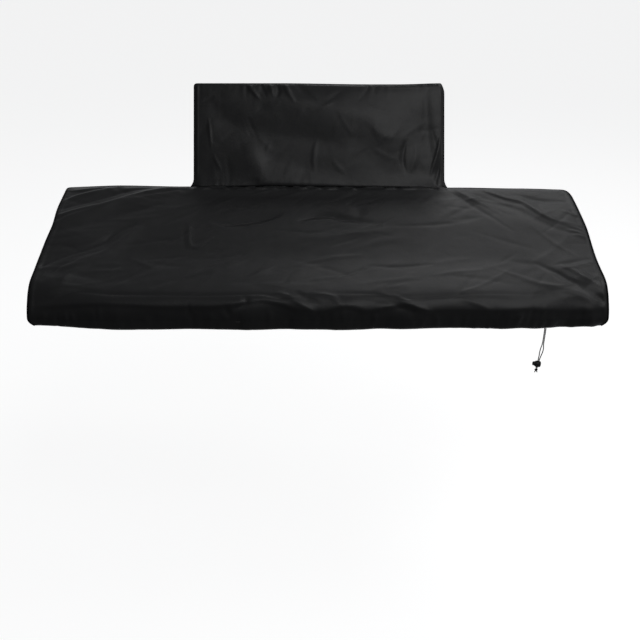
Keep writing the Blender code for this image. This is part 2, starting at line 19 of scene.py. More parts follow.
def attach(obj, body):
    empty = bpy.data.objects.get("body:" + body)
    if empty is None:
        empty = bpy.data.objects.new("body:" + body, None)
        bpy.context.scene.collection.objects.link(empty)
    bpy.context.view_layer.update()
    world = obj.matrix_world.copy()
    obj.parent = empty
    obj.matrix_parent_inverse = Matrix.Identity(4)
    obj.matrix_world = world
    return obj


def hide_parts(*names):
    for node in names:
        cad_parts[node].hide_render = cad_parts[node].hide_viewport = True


bl_info = {
    "name": "Fitted Piano Cover",
    "version": (1, 0, 0),
    "blender": (4, 5, 0),
    "location": "3D View > Sidebar > Piano Cover",
    "description": "Builds a fitted cloth cover for a keyboard instrument",
    "category": "Add Mesh",
}

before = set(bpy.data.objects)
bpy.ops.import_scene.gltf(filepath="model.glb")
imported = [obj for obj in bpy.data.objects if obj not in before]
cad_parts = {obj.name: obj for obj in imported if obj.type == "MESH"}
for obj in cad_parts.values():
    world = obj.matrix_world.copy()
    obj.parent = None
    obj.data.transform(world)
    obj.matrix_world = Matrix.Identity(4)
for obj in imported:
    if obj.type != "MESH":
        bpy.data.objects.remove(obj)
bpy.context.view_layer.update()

# Overall sizes
LENGTH = 1.36
BACK_Y = 0.475
POCKET_HEIGHT = 0.286
POCKET_HALF = 0.3428
POCKET_BASE_HALF = 0.352
POCKET_MIDDLE_X = 0.0027
POCKET_LEAN = math.radians(23)
POCKET_DEPTH = 0.0215
POCKET_BACK_DEPTH = 0.002
POCKET_CORNER = 0.006
POCKET_FLARE_HEIGHT = 0.024
POCKET_CHAMFER = 0.008
POCKET_CHAMFER_HEIGHT = 0.024
POCKET_FOOT_HEIGHT = 0.05
POCKET_TOP_SAG = 0.003
POCKET_TAPER = 0.25
POCKET_LIFT_FADE = 0.2
POCKET_SIDE_STEP = 0.36
POCKET_STEP_SHARE = 0.026
POCKET_UP = Vector((0, math.sin(POCKET_LEAN), math.cos(POCKET_LEAN)))
POCKET_OUT = Vector((0, -math.cos(POCKET_LEAN), math.sin(POCKET_LEAN)))
ORIGIN = Vector((0.0, 0.240, 0.150))

# How far the left and right back corners reach along x and along y.
CORNER_REACH = {-1: (0.034, 0.034), 1: (0.047, 0.078)}

# Where the side seams are drawn in or let out, as (y, half width, inward).
SEAM_EASE = {
    -1: [(0.262, 0.050, 0.0042), (0.060, 0.060, 0.0016)],
    1: [(0.255, 0.050, -0.0022), (0.120, 0.045, 0.0018)],
}

# Seams, hems and the reaches over which one shape fades into the next
SEAM_INSET = 0.0009
LAYER_OFFSET = 0.0010
HEM_TUCK = 0.013
HEM_TUCK_HEIGHT = 0.018
SKIRT_TUCK = 0.012
SKIRT_BULGE = 0.004
SKIRT_FRONT_HEM_Y = 0.0065
SKIRT_FRONT_HEM_Z = 0.0105
SKIRT_BACK_HEM_Z = 0.003
TOP_ANGLE = math.radians(18)
SAG_START = 0.01
SAG_REACH = 0.20
PILLOW_SHARE = 0.11
NOTCH_MARGIN = 0.010
NOTCH_LIFT = 0.006
CORNER_SHARE = 0.45
SIDE_SHARE = 0.06
SEAM_GAP = 0.0004
HEM_DEPTH = 0.0215
HEM_LAYER = 0.0022
HEM_TURN = [1.0, 0.7, 0.4, 0.2, 0.1, 0.04]
SKIRT_ROWS = 44
SKIRT_STEP_SHARE = 1.2
LEAST_HEIGHT = 0.001

# Allowances for turned edges, which only the flat sizes use
SKIRT_TURN = 0.022

# The cover's section from the front hem over the top to the back seam, as
# (place, end_y, end_z, mid_y, mid_z, length up to the next place). The end is at
# the side seams and the mid is half way along, where the cloth sags.
SECTION = [
    ("hem", 0.004, 0.010, 0.003, 0.000, 0.019),
    ("channel", 0.000, 0.026, 0.000, 0.022, 0.022),
    ("drop", 0.005, 0.047, 0.002, 0.044, 0.021),
    ("drop top", 0.016, 0.068, 0.008, 0.062, 0.020),
    ("shoulder", 0.029, 0.0865, 0.020, 0.0755, 0.024),
    ("front edge", 0.050, 0.103, 0.040, 0.085, 0.048),
    ("low slope", 0.090, 0.116, 0.090, 0.101, 0.082),
    ("middle slope", 0.168, 0.140, 0.168, 0.127, 0.078),
    ("panel front", 0.241, 0.168, 0.241, 0.153, 0.089),
    ("panel middle", 0.325, 0.1965, 0.325, 0.184, 0.078),
    ("panel back", 0.400, 0.2150, 0.400, 0.210, 0.043),
    ("ridge", 0.441, 0.2235, 0.441, 0.2225, 0.035),
    ("back seam", 0.475, 0.2185, 0.475, 0.2185, 0.0),
]
PANEL_BACK = 10
RIDGE = 11
END_CROWDING = 0.06
BACK_STEP_SHARE = 0.55
SLOPE_REACH = 0.05

# Where the front's waves, its hem and its turn end, as (place, reach) in the section
WAVE_END = (5, 4)
HEM_END = (3, 3)
TURN_END = (5.5, 2.5)

# Strength of the folds that noise makes, beside the strength in the settings
FOOT_PUCKER = 2.0
FOOT_GATHER = 2.4
SKIRT_CRUMPLE = 1.8
POCKET_SIDE_PUCKER = 0.4
POCKET_SIDE_ROLL = 0.4
POCKET_TOP_ROLL = 0.5

# Swells of a crumpled sheet, as (size along, size across, shift of seed, share)
SWELLS = [(0.19, 0.12, 0.0, 0.8), (0.075, 0.050, 5.3, 0.3), (0.030, 0.026, 2.7, 0.12)]

# Rows of short folds along the pocket's foot, as (distance from it, half width)
FOOT_ROWS = [(0.014, 0.0042), (0.030, 0.0060)]

# Low ridges and grooves beside a seam, as (height, distance from it, half width)
SEAM_ROLL = (0.0013, 0.0075, 0.0035)
HEM_CORD = (0.0011, 0.0055, 0.0045)
HEM_GROOVE = (-0.0007, HEM_DEPTH, 0.0022)
HEM_GATHER = 0.0013

# Shape of every crease
CREASE_STEPS = 6
CREASE_SHARPNESS = 1.8
CREASE_REACH = 2.8
CREASE_END_WIDTH = 0.4

# Height of the front hem along the cover, as (x, z), with its wavy right end.
FRONT_HEM = [
    (-0.680, 0.0040), (-0.645, 0.0005), (-0.600, 0.0000), (-0.540, 0.0005),
    (-0.510, 0.0015), (-0.410, 0.0000), (0.100, 0.0000), (0.150, 0.0025),
    (0.430, 0.0025), (0.475, 0.0050), (0.520, 0.0010), (0.565, 0.0000),
    (0.600, -0.0035), (0.635, -0.0010), (0.655, -0.0060), (0.680, 0.0020),
]

# How far the back edge lies above or below its section, as (x, z).
BACK_LIFT = [
    (-0.680, 0.0010), (-0.540, 0.0050), (-0.370, 0.0020), (0.000, 0.0005),
    (0.390, -0.0010), (0.550, -0.0035), (0.680, -0.0060),
]

# Creases of the top, seen from above, as (name, height, half width on the left
# of its route, half width on the right, route). A route's points are (x, y,
# share), where the share scales the crease. A trough has a height below 0.
TOP_CREASES = [
    ("left fan edge", 0.0036, 0.007, 0.009,
     [(-0.668, 0.425, 0.4), (-0.615, 0.435, 1.0), (-0.558, 0.449, 0.2)]),
    ("left fan upper", 0.0056, 0.008, 0.012,
     [(-0.676, 0.361, 0.5), (-0.645, 0.393, 0.9), (-0.598, 0.417, 1.0), (-0.534, 0.449, 0.3)]),
    ("left fan middle", 0.0068, 0.008, 0.012,
     [(-0.676, 0.296, 0.6), (-0.624, 0.327, 0.9), (-0.563, 0.359, 1.0),
      (-0.501, 0.399, 1.0), (-0.425, 0.432, 0.8), (-0.352, 0.446, 0.3)]),
    ("left fan lower", 0.0050, 0.009, 0.018,
     [(-0.676, 0.264, 0.5), (-0.641, 0.296, 1.0), (-0.583, 0.332, 1.0),
      (-0.530, 0.370, 1.0), (-0.462, 0.397, 0.9), (-0.380, 0.425, 0.3)]),
    ("left fan trough", -0.0040, 0.008, 0.010,
     [(-0.671, 0.331, 0.5), (-0.602, 0.378, 1.0), (-0.530, 0.420, 1.0), (-0.453, 0.442, 0.3)]),
    ("left fan low trough", -0.0040, 0.012, 0.018,
     [(-0.664, 0.240, 0.4), (-0.592, 0.282, 1.0), (-0.530, 0.322, 1.0), (-0.420, 0.370, 0.3)]),
    ("left middle trough", -0.0046, 0.010, 0.012,
     [(-0.668, 0.112, 0.8), (-0.630, 0.147, 1.0), (-0.584, 0.181, 1.0),
      (-0.544, 0.212, 0.9), (-0.509, 0.255, 0.6), (-0.472, 0.285, 0.2)]),
    ("left middle", 0.0056, 0.013, 0.026,
     [(-0.625, 0.095, 0.3), (-0.579, 0.134, 0.9), (-0.529, 0.172, 1.0),
      (-0.498, 0.214, 0.9), (-0.462, 0.270, 0.3)]),
    ("left front", 0.0040, 0.014, 0.016,
     [(-0.606, 0.046, 0.3), (-0.597, 0.085, 1.0), (-0.560, 0.114, 0.3)]),
    ("left front trough", -0.0030, 0.014, 0.016,
     [(-0.650, 0.060, 0.5), (-0.630, 0.100, 1.0), (-0.590, 0.140, 0.2)]),
    ("upright ridge", 0.0015, 0.004, 0.006,
     [(-0.329, 0.296, 0.2), (-0.327, 0.250, 1.0), (-0.322, 0.203, 0.6)]),
    ("upright trough", -0.0010, 0.006, 0.005,
     [(-0.344, 0.285, 0.2), (-0.340, 0.240, 1.0), (-0.334, 0.198, 0.4)]),
    ("pinch", 0.0016, 0.005, 0.005,
     [(-0.322, 0.213, 0.4), (-0.303, 0.200, 1.0), (-0.284, 0.222, 0.8), (-0.256, 0.247, 0.2)]),
    ("centre line left", -0.0052, 0.016, 0.006,
     [(-0.262, 0.290, 0.3), (-0.225, 0.288, 0.8), (-0.185, 0.295, 1.0),
      (-0.143, 0.306, 1.0), (-0.102, 0.326, 0.4)]),
    ("centre line right", -0.0054, 0.014, 0.006,
     [(-0.045, 0.304, 0.3), (-0.006, 0.321, 1.0), (0.033, 0.322, 1.0),
      (0.076, 0.308, 0.8), (0.140, 0.294, 0.2)]),
    ("centre hollow", -0.0024, 0.018, 0.018,
     [(0.092, 0.374, 0.3), (0.108, 0.348, 1.0), (0.104, 0.322, 0.5)]),
    ("centre swell", 0.0024, 0.014, 0.022,
     [(0.078, 0.254, 0.3), (0.135, 0.266, 1.0), (0.196, 0.274, 0.3)]),
    ("wrinkle left", 0.0016, 0.006, 0.008,
     [(-0.330, 0.082, 0.2), (-0.249, 0.122, 1.0), (-0.180, 0.152, 0.3)]),
    ("wrinkle middle", 0.0015, 0.006, 0.009,
     [(-0.060, 0.136, 0.2), (0.032, 0.165, 1.0), (0.104, 0.174, 0.3)]),
    ("wrinkle right", -0.0018, 0.006, 0.007,
     [(0.120, 0.134, 0.2), (0.192, 0.127, 1.0), (0.280, 0.139, 0.3)]),
    ("centre sag", -0.0050, 0.080, 0.080,
     [(-0.500, 0.180, 0.4), (0.000, 0.165, 1.0), (0.480, 0.150, 0.4)]),
    ("right fan inner trough", -0.0020, 0.007, 0.008,
     [(0.362, 0.424, 0.4), (0.396, 0.383, 1.0), (0.428, 0.347, 0.9),
      (0.462, 0.308, 0.5), (0.500, 0.262, 0.1)]),
    ("right fan inner", 0.0024, 0.012, 0.007,
     [(0.370, 0.438, 0.4), (0.412, 0.398, 1.0), (0.448, 0.364, 0.6), (0.480, 0.330, 0.2)]),
    ("right fan outer", 0.0028, 0.012, 0.006,
     [(0.446, 0.438, 0.4), (0.500, 0.404, 1.0), (0.540, 0.384, 1.0), (0.562, 0.355, 1.0),
      (0.584, 0.320, 1.0), (0.614, 0.288, 0.9), (0.664, 0.262, 0.5)]),
    ("right fan shade", -0.0016, 0.009, 0.014,
     [(0.430, 0.414, 0.3), (0.480, 0.378, 1.0), (0.530, 0.345, 1.0),
      (0.568, 0.298, 1.0), (0.612, 0.256, 0.6), (0.656, 0.232, 0.2)]),
    ("right back trough", -0.0028, 0.010, 0.012,
     [(0.545, 0.412, 0.2), (0.592, 0.386, 1.0), (0.652, 0.378, 0.5)]),
    ("right pucker high", 0.0020, 0.004, 0.005,
     [(0.630, 0.338, 0.1), (0.652, 0.322, 1.0), (0.670, 0.304, 0.7)]),
    ("right pucker first", 0.0024, 0.004, 0.004,
     [(0.632, 0.270, 0.1), (0.655, 0.256, 1.0), (0.676, 0.238, 0.9)]),
    ("right pucker second", 0.0024, 0.004, 0.004,
     [(0.630, 0.250, 0.1), (0.655, 0.240, 1.0), (0.677, 0.225, 0.9)]),
    ("right pucker third", 0.0022, 0.004, 0.004,
     [(0.640, 0.232, 0.1), (0.658, 0.226, 1.0), (0.678, 0.213, 0.9)]),
    ("right side crease", -0.0024, 0.005, 0.006,
     [(0.575, 0.122, 0.2), (0.612, 0.125, 1.0), (0.660, 0.134, 0.5)]),
    ("right side ridge", 0.0024, 0.006, 0.006,
     [(0.585, 0.106, 0.2), (0.625, 0.108, 1.0), (0.662, 0.118, 0.5)]),
]

# Creases round the front edge, as above, with the distance from the hem along
# the cloth in place of y. The band edge is where the cloth turns down.
FRONT_CREASES = [
    ("band edge", 0.0030, 0.016, 0.006,
     [(-0.672, 0.050, 0.4), (-0.603, 0.054, 0.8), (-0.509, 0.064, 1.0), (-0.443, 0.062, 0.9),
      (-0.360, 0.056, 0.9), (-0.275, 0.055, 1.0), (-0.217, 0.060, 0.9), (-0.165, 0.069, 0.8),
      (-0.130, 0.074, 0.9), (-0.081, 0.062, 1.0), (-0.045, 0.047, 1.0), (0.012, 0.043, 1.0),
      (0.048, 0.056, 0.9), (0.080, 0.057, 0.9), (0.116, 0.045, 1.0), (0.169, 0.057, 0.9),
      (0.211, 0.061, 0.9), (0.250, 0.046, 1.0), (0.320, 0.044, 1.0), (0.426, 0.045, 1.0),
      (0.490, 0.049, 0.9), (0.590, 0.042, 0.9), (0.670, 0.046, 0.4)]),
    ("edge groove left", -0.0024, 0.005, 0.006,
     [(-0.676, 0.050, 0.4), (-0.629, 0.063, 0.8), (-0.590, 0.080, 1.0), (-0.550, 0.093, 1.0),
      (-0.480, 0.092, 1.0), (-0.417, 0.091, 1.0), (-0.340, 0.090, 0.9), (-0.276, 0.089, 0.9),
      (-0.200, 0.091, 0.7), (-0.131, 0.092, 0.6), (-0.086, 0.080, 1.0), (-0.055, 0.084, 0.3)]),
    ("edge groove right", -0.0018, 0.005, 0.006,
     [(0.030, 0.096, 0.2), (0.110, 0.095, 0.7), (0.165, 0.092, 0.8), (0.193, 0.079, 1.0),
      (0.263, 0.083, 0.8), (0.334, 0.092, 0.7), (0.429, 0.095, 0.6), (0.540, 0.088, 0.5),
      (0.620, 0.075, 0.2)]),
    ("left peak shade", -0.0030, 0.007, 0.007,
     [(-0.172, 0.086, 0.2), (-0.168, 0.066, 1.0), (-0.192, 0.050, 0.4)]),
    ("slant ridge", 0.0034, 0.006, 0.010,
     [(-0.096, 0.100, 0.2), (-0.066, 0.083, 0.9), (-0.038, 0.064, 1.0), (-0.010, 0.044, 0.5)]),
    ("slant notch", -0.0030, 0.006, 0.006,
     [(-0.050, 0.098, 0.3), (-0.022, 0.078, 1.0), (0.004, 0.064, 0.3)]),
    ("small fold", 0.0024, 0.005, 0.007,
     [(-0.006, 0.096, 0.3), (0.034, 0.084, 1.0), (0.052, 0.064, 0.4)]),
    ("diagonal ridge", 0.0032, 0.005, 0.008,
     [(0.140, 0.100, 0.2), (0.182, 0.084, 0.9), (0.214, 0.066, 1.0), (0.262, 0.042, 0.5)]),
    ("diagonal shade", -0.0020, 0.008, 0.008,
     [(0.110, 0.082, 0.2), (0.162, 0.068, 1.0), (0.214, 0.046, 0.6)]),
    ("right band fold", 0.0018, 0.006, 0.008,
     [(0.330, 0.080, 0.2), (0.372, 0.064, 1.0), (0.400, 0.050, 0.4)]),
    ("right corner trough", -0.0038, 0.009, 0.010,
     [(0.530, 0.205, 0.1), (0.570, 0.162, 0.7), (0.592, 0.132, 1.0), (0.622, 0.096, 1.0),
      (0.674, 0.056, 0.6)]),
    ("right corner ridge", 0.0030, 0.011, 0.009,
     [(0.590, 0.186, 0.2), (0.622, 0.150, 0.9), (0.645, 0.114, 1.0), (0.672, 0.076, 0.5)]),
    ("right long ridge", 0.0022, 0.007, 0.010,
     [(0.430, 0.190, 0.1), (0.528, 0.128, 0.7), (0.592, 0.090, 1.0), (0.664, 0.052, 0.5)]),
    ("left corner slope", 0.0030, 0.010, 0.010,
     [(-0.670, 0.072, 0.5), (-0.616, 0.092, 1.0), (-0.560, 0.106, 0.3)]),
]

# Soft vertical waves of the front drop, as (x, half width, depth at the hem).
DROP_WAVES = [
    (-0.480, 0.060, 0.004), (-0.300, 0.050, -0.004), (-0.165, 0.035, 0.003),
    (-0.080, 0.030, -0.003), (0.060, 0.040, 0.004), (0.204, 0.040, 0.0035),
    (0.330, 0.055, -0.004), (0.460, 0.040, 0.004), (0.590, 0.035, -0.005),
    (0.645, 0.020, 0.004),
]

# Waves of the skirt's hem, as (distance along it, half width, depth).
SKIRT_WAVES = [
    (0.14, 0.050, 0.005), (0.30, 0.060, -0.004), (0.56, 0.080, 0.006),
    (0.84, 0.070, -0.005), (1.14, 0.090, 0.006), (1.42, 0.070, -0.005),
    (1.70, 0.080, 0.005), (2.02, 0.060, -0.004), (2.20, 0.050, 0.005),
]

# Creases of the pocket's front, as above, with the height up it in place of y.
POCKET_CREASES = [
    ("broad ridge", 0.0080, 0.050, 0.060,
     [(-0.130, 0.250, 0.2), (-0.020, 0.222, 0.6), (0.070, 0.208, 1.0), (0.140, 0.190, 1.0),
      (0.190, 0.150, 0.9), (0.215, 0.095, 0.4)]),
    ("left hollow", -0.0050, 0.040, 0.040,
     [(-0.270, 0.205, 0.6), (-0.210, 0.160, 1.0), (-0.100, 0.140, 1.0), (0.040, 0.120, 0.4)]),
    ("wedge trough", -0.0042, 0.055, 0.026,
     [(-0.186, 0.124, 0.2), (-0.150, 0.090, 0.8), (-0.090, 0.062, 1.0),
      (-0.010, 0.040, 1.0), (0.070, 0.020, 0.4)]),
    ("wedge swell", 0.0050, 0.045, 0.020,
     [(-0.150, 0.016, 0.5), (-0.110, 0.013, 1.0), (-0.040, 0.010, 0.8), (0.050, 0.006, 0.4)]),
    ("wedge side", 0.0044, 0.026, 0.055,
     [(-0.184, 0.126, 0.3), (-0.172, 0.090, 1.0), (-0.158, 0.050, 1.0), (-0.146, 0.014, 0.6)]),
    ("left upright", 0.0013, 0.004, 0.005,
     [(-0.300, 0.188, 0.3), (-0.296, 0.150, 1.0), (-0.292, 0.112, 0.3)]),
    ("left low upright", 0.0012, 0.005, 0.005,
     [(-0.286, 0.086, 0.3), (-0.276, 0.066, 1.0), (-0.266, 0.046, 0.3)]),
    ("left foot line", -0.0010, 0.004, 0.004,
     [(-0.322, 0.024, 0.5), (-0.280, 0.023, 1.0), (-0.222, 0.024, 0.3)]),
    ("middle upright", 0.0014, 0.006, 0.005,
     [(-0.002, 0.130, 0.2), (-0.010, 0.098, 1.0), (-0.012, 0.066, 0.8), (-0.008, 0.040, 0.2)]),
    ("middle low fold", 0.0010, 0.006, 0.006,
     [(0.040, 0.074, 0.2), (0.056, 0.052, 1.0), (0.074, 0.036, 0.3)]),
    ("right crease", -0.0030, 0.006, 0.008,
     [(0.240, 0.126, 0.2), (0.234, 0.100, 1.0), (0.232, 0.070, 1.0), (0.240, 0.044, 0.2)]),
    ("right crease side", 0.0022, 0.012, 0.010,
     [(0.268, 0.112, 0.2), (0.266, 0.080, 1.0), (0.256, 0.050, 0.5)]),
    ("right diagonal", 0.0008, 0.014, 0.012,
     [(0.132, 0.178, 0.2), (0.180, 0.140, 1.0), (0.236, 0.132, 0.5)]),
    ("right edge trough", -0.0042, 0.015, 0.024,
     [(0.296, 0.262, 0.3), (0.297, 0.210, 0.8), (0.300, 0.160, 1.0), (0.304, 0.120, 0.9),
      (0.306, 0.090, 0.3)]),
    ("right edge ridge", 0.0030, 0.006, 0.005,
     [(0.334, 0.136, 0.3), (0.328, 0.100, 1.0), (0.318, 0.066, 1.0), (0.308, 0.036, 0.4)]),
    ("right low trough", -0.0028, 0.006, 0.006,
     [(0.338, 0.080, 0.3), (0.330, 0.046, 1.0), (0.322, 0.014, 0.6)]),
    ("top dimple first", 0.0030, 0.006, 0.007,
     [(-0.196, 0.286, 0.5), (-0.180, 0.268, 1.0), (-0.160, 0.242, 0.3)]),
    ("top notch first", -0.0024, 0.006, 0.006,
     [(-0.158, 0.286, 0.6), (-0.150, 0.266, 1.0), (-0.142, 0.248, 0.2)]),
    ("top dimple second", 0.0026, 0.005, 0.005,
     [(-0.134, 0.286, 0.7), (-0.128, 0.268, 1.0), (-0.122, 0.250, 0.2)]),
    ("top notch second", -0.0026, 0.005, 0.005,
     [(-0.114, 0.286, 0.7), (-0.108, 0.262, 1.0), (-0.112, 0.246, 0.2)]),
    ("top dimple third", 0.0034, 0.006, 0.008,
     [(-0.094, 0.286, 0.5), (-0.082, 0.264, 1.0), (-0.066, 0.236, 0.3)]),
    ("top shade", -0.0024, 0.010, 0.010,
     [(-0.060, 0.284, 0.5), (-0.040, 0.262, 1.0), (-0.010, 0.240, 0.2)]),
]

# The drawstring's two strands, as (z, middle x, half the distance between them).
STRAND_ROUTE = [
    (0.0027, 0.5370, 0.00145), (-0.018, 0.5363, 0.00140),
    (-0.038, 0.5352, 0.00160), (-0.050, 0.5342, 0.00340),
    (-0.060, 0.5328, 0.00340), (-0.070, 0.5310, 0.00220),
    (-0.080, 0.5291, 0.00145), (-0.0905, 0.5275, 0.00138),
    (-0.1020, 0.5257, 0.00130),
]
STRAND_Y = 0.0034
STRAND_STEPS = 150
STRAND_SIDES = 20
BRAID_PITCH = 0.0052
BRAID_DEPTH = 0.00010

# The cord lock's turned outline, as (radius, distance along its axis) from the
# push button to the far end.
LOCK_PROFILE = [
    (0.0000, 0.0122), (0.0014, 0.0122), (0.0030, 0.0124), (0.0040, 0.0122),
    (0.0047, 0.0117), (0.0050, 0.0109), (0.0050, 0.0074), (0.0044, 0.0072),
    (0.0044, 0.0068), (0.0058, 0.0066), (0.0067, 0.0062), (0.0072, 0.0054),
    (0.0074, 0.0046), (0.0072, 0.0041), (0.0075, 0.0036), (0.0077, 0.0026),
    (0.0074, 0.0022), (0.0077, 0.0017), (0.0077, -0.0017), (0.0074, -0.0022),
    (0.0077, -0.0026), (0.0075, -0.0036), (0.0072, -0.0041), (0.0074, -0.0046),
    (0.0071, -0.0055), (0.0065, -0.0062), (0.0056, -0.0065), (0.0030, -0.0063),
    (0.0000, -0.0063),
]
LOCK_CENTRE = Vector((0.5275, STRAND_Y, -0.0905))
LOCK_TILT = math.radians(8.7)
LOCK_STEPS = 64
LOCK_SLOT_HALF = 0.0031
LOCK_SLOT_WIDTH = 0.0032
LOCK_SLOT_ARC = 10
LOCK_CUT_REACH = 0.012
LOCK_SHARP_ANGLE = math.radians(40)
KNOT_CENTRE = Vector((0.5251, STRAND_Y, -0.1060))
KNOT_SCALE = 0.00098
KNOT_STEPS = 96
KNOT_DEPTH = 1.15
KNOT_GIRTH = 0.94
KNOT_TAIL = 0.0055
KNOT_TAIL_STEPS = 6

# Binding tape: its steps, its tilt and where it stops beside the pocket
TAPE_STEP = 0.004
TAPE_UNEVEN = 0.05
TAPE_TILT = 0.8
TAPE_SEAM_STEPS = 60
TAPE_TOP_STEPS = 120
TAPE_STOP = 0.001
TAPE_BACK_OUT = (0, 0.78, 0.62)
THREAD_SIDES = 6
THREAD_RINGS = 5


class ClothSettings(bpy.types.PropertyGroup):
    """Sizes and colours of the cover's cloth."""

    colour: FloatVectorProperty(
        name="Cloth colour", description="Colour of the coated cloth",
        subtype="COLOR", size=3, min=0.0, max=1.0, default=(0.0155, 0.0155, 0.0165),
    )
    thickness: FloatProperty(
        name="Thickness", description="Thickness of one layer of cloth",
        unit="LENGTH", min=0.0003, max=0.002, default=0.0009, precision=4,
    )
    step: FloatProperty(
        name="Grid step", description="Distance between the points of a sheet",
        unit="LENGTH", min=0.003, max=0.02, default=0.0044, precision=4,
    )
    thread_spacing: FloatProperty(
        name="Thread spacing", description="Distance between the threads of the weave",
        unit="LENGTH", min=0.0002, max=0.003, default=0.0006, precision=4,
    )
    crumple: FloatProperty(
        name="Crumple", description="Height of the soft swells between the creases",
        unit="LENGTH", min=0.0, max=0.003, default=0.0016, precision=4,
    )
    pucker: FloatProperty(
        name="Pucker", description="Height of the gathers beside a stitched seam",
        unit="LENGTH", min=0.0, max=0.003, default=0.0019, precision=4,
    )


class SeamSettings(bpy.types.PropertyGroup):
    """Sizes and colours of the bound seams and the stitching."""

    colour: FloatVectorProperty(
        name="Tape colour", description="Colour of the binding tape",
        subtype="COLOR", size=3, min=0.0, max=1.0, default=(0.006, 0.006, 0.0065),
    )
    tape_reach: FloatProperty(
        name="Tape reach", description="Half the width of the folded tape",
        unit="LENGTH", min=0.001, max=0.004, default=0.0021, precision=4,
    )
    tape_thickness: FloatProperty(
        name="Tape thickness", description="Half the thickness of the folded tape",
        unit="LENGTH", min=0.0008, max=0.003, default=0.0014, precision=4,
    )
    stitch_length: FloatProperty(
        name="Stitch length", description="Length of one stitch",
        unit="LENGTH", min=0.001, max=0.006, default=0.0026, precision=4,
    )
    stitch_gap: FloatProperty(
        name="Stitch gap", description="Gap between two stitches",
        unit="LENGTH", min=0.0002, max=0.003, default=0.0007, precision=4,
    )
    thread_radius: FloatProperty(
        name="Thread radius", description="Half the thickness of the thread",
        unit="LENGTH", min=0.0001, max=0.0006, default=0.00022, precision=5,
    )


class DrawstringSettings(bpy.types.PropertyGroup):
    """Sizes and colours of the drawstring, its lock and its knot."""

    colour: FloatVectorProperty(
        name="Cord colour", description="Colour of the braided cord",
        subtype="COLOR", size=3, min=0.0, max=1.0, default=(0.014, 0.014, 0.015),
    )
    lock_colour: FloatVectorProperty(
        name="Lock colour", description="Colour of the moulded cord lock",
        subtype="COLOR", size=3, min=0.0, max=1.0, default=(0.010, 0.010, 0.011),
    )
    diameter: FloatProperty(
        name="Diameter", description="Thickness of the drawstring",
        unit="LENGTH", min=0.001, max=0.004, default=0.0024, precision=4,
    )


class StageSettings(bpy.types.PropertyGroup):
    """The camera, the floor and the lights."""

    lens: FloatProperty(
        name="Lens", description="Focal length of the camera",
        subtype="DISTANCE_CAMERA", min=20.0, max=200.0, default=50.0,
    )
    pitch: FloatProperty(
        name="Pitch", description="How far the camera looks down",
        subtype="ANGLE", min=0.0, max=1.5, default=math.radians(23),
    )
    floor_drop: FloatProperty(
        name="Floor drop", description="Depth of the floor below the cover's hem",
        unit="LENGTH", min=0.1, max=2.0, default=0.70,
    )
    floor_colour: FloatVectorProperty(
        name="Floor colour", description="Colour of the plain floor",
        subtype="COLOR", size=3, min=0.0, max=1.0, default=(0.90, 0.90, 0.90),
    )
    floor_size: FloatProperty(
        name="Floor size", description="Length of each side of the floor",
        unit="LENGTH", min=10.0, max=200.0, default=120.0,
    )
    dome_low: FloatProperty(
        name="Dome low", description="Strength of the light from below the horizon",
        min=0.0, max=2.0, default=0.082,
    )
    dome_high: FloatProperty(
        name="Dome high", description="Strength of the light from overhead",
        min=0.0, max=2.0, default=0.15,
    )
    backdrop: FloatProperty(
        name="Backdrop", description="Strength of the pale backdrop behind the cover",
        min=0.0, max=2.0, default=0.42,
    )
    floor_glow: FloatProperty(
        name="Floor glow", description="Strength of the light from the floor beside and behind",
        min=0.0, max=2.0, default=0.35,
    )
    dome_lean: FloatProperty(
        name="Dome lean", description="How much stronger the light is from the right",
        min=0.0, max=2.0, default=0.55,
    )


class Value:
    """One output of a shader node, on which sums can be written."""

    def __init__(self, finish, socket):
        self.finish = finish
        self.socket = socket

    def sum(self, operation, *values):
        settings = {"operation": operation}
        return self.finish.node("ShaderNodeMath", settings, dict(enumerate(values)))

    def __add__(self, other):
        return self.sum("ADD", self, other)

    def __radd__(self, other):
        return self.sum("ADD", other, self)

    def __rsub__(self, other):
        return self.sum("SUBTRACT", other, self)

    def __mul__(self, other):
        return self.sum("MULTIPLY", self, other)

    def __rmul__(self, other):
        return self.sum("MULTIPLY", other, self)

    def __abs__(self):
        return self.sum("ABSOLUTE", self)

    def sine(self):
        return self.sum("SINE", self)

    def larger(self, other):
        return self.sum("MAXIMUM", self, other)


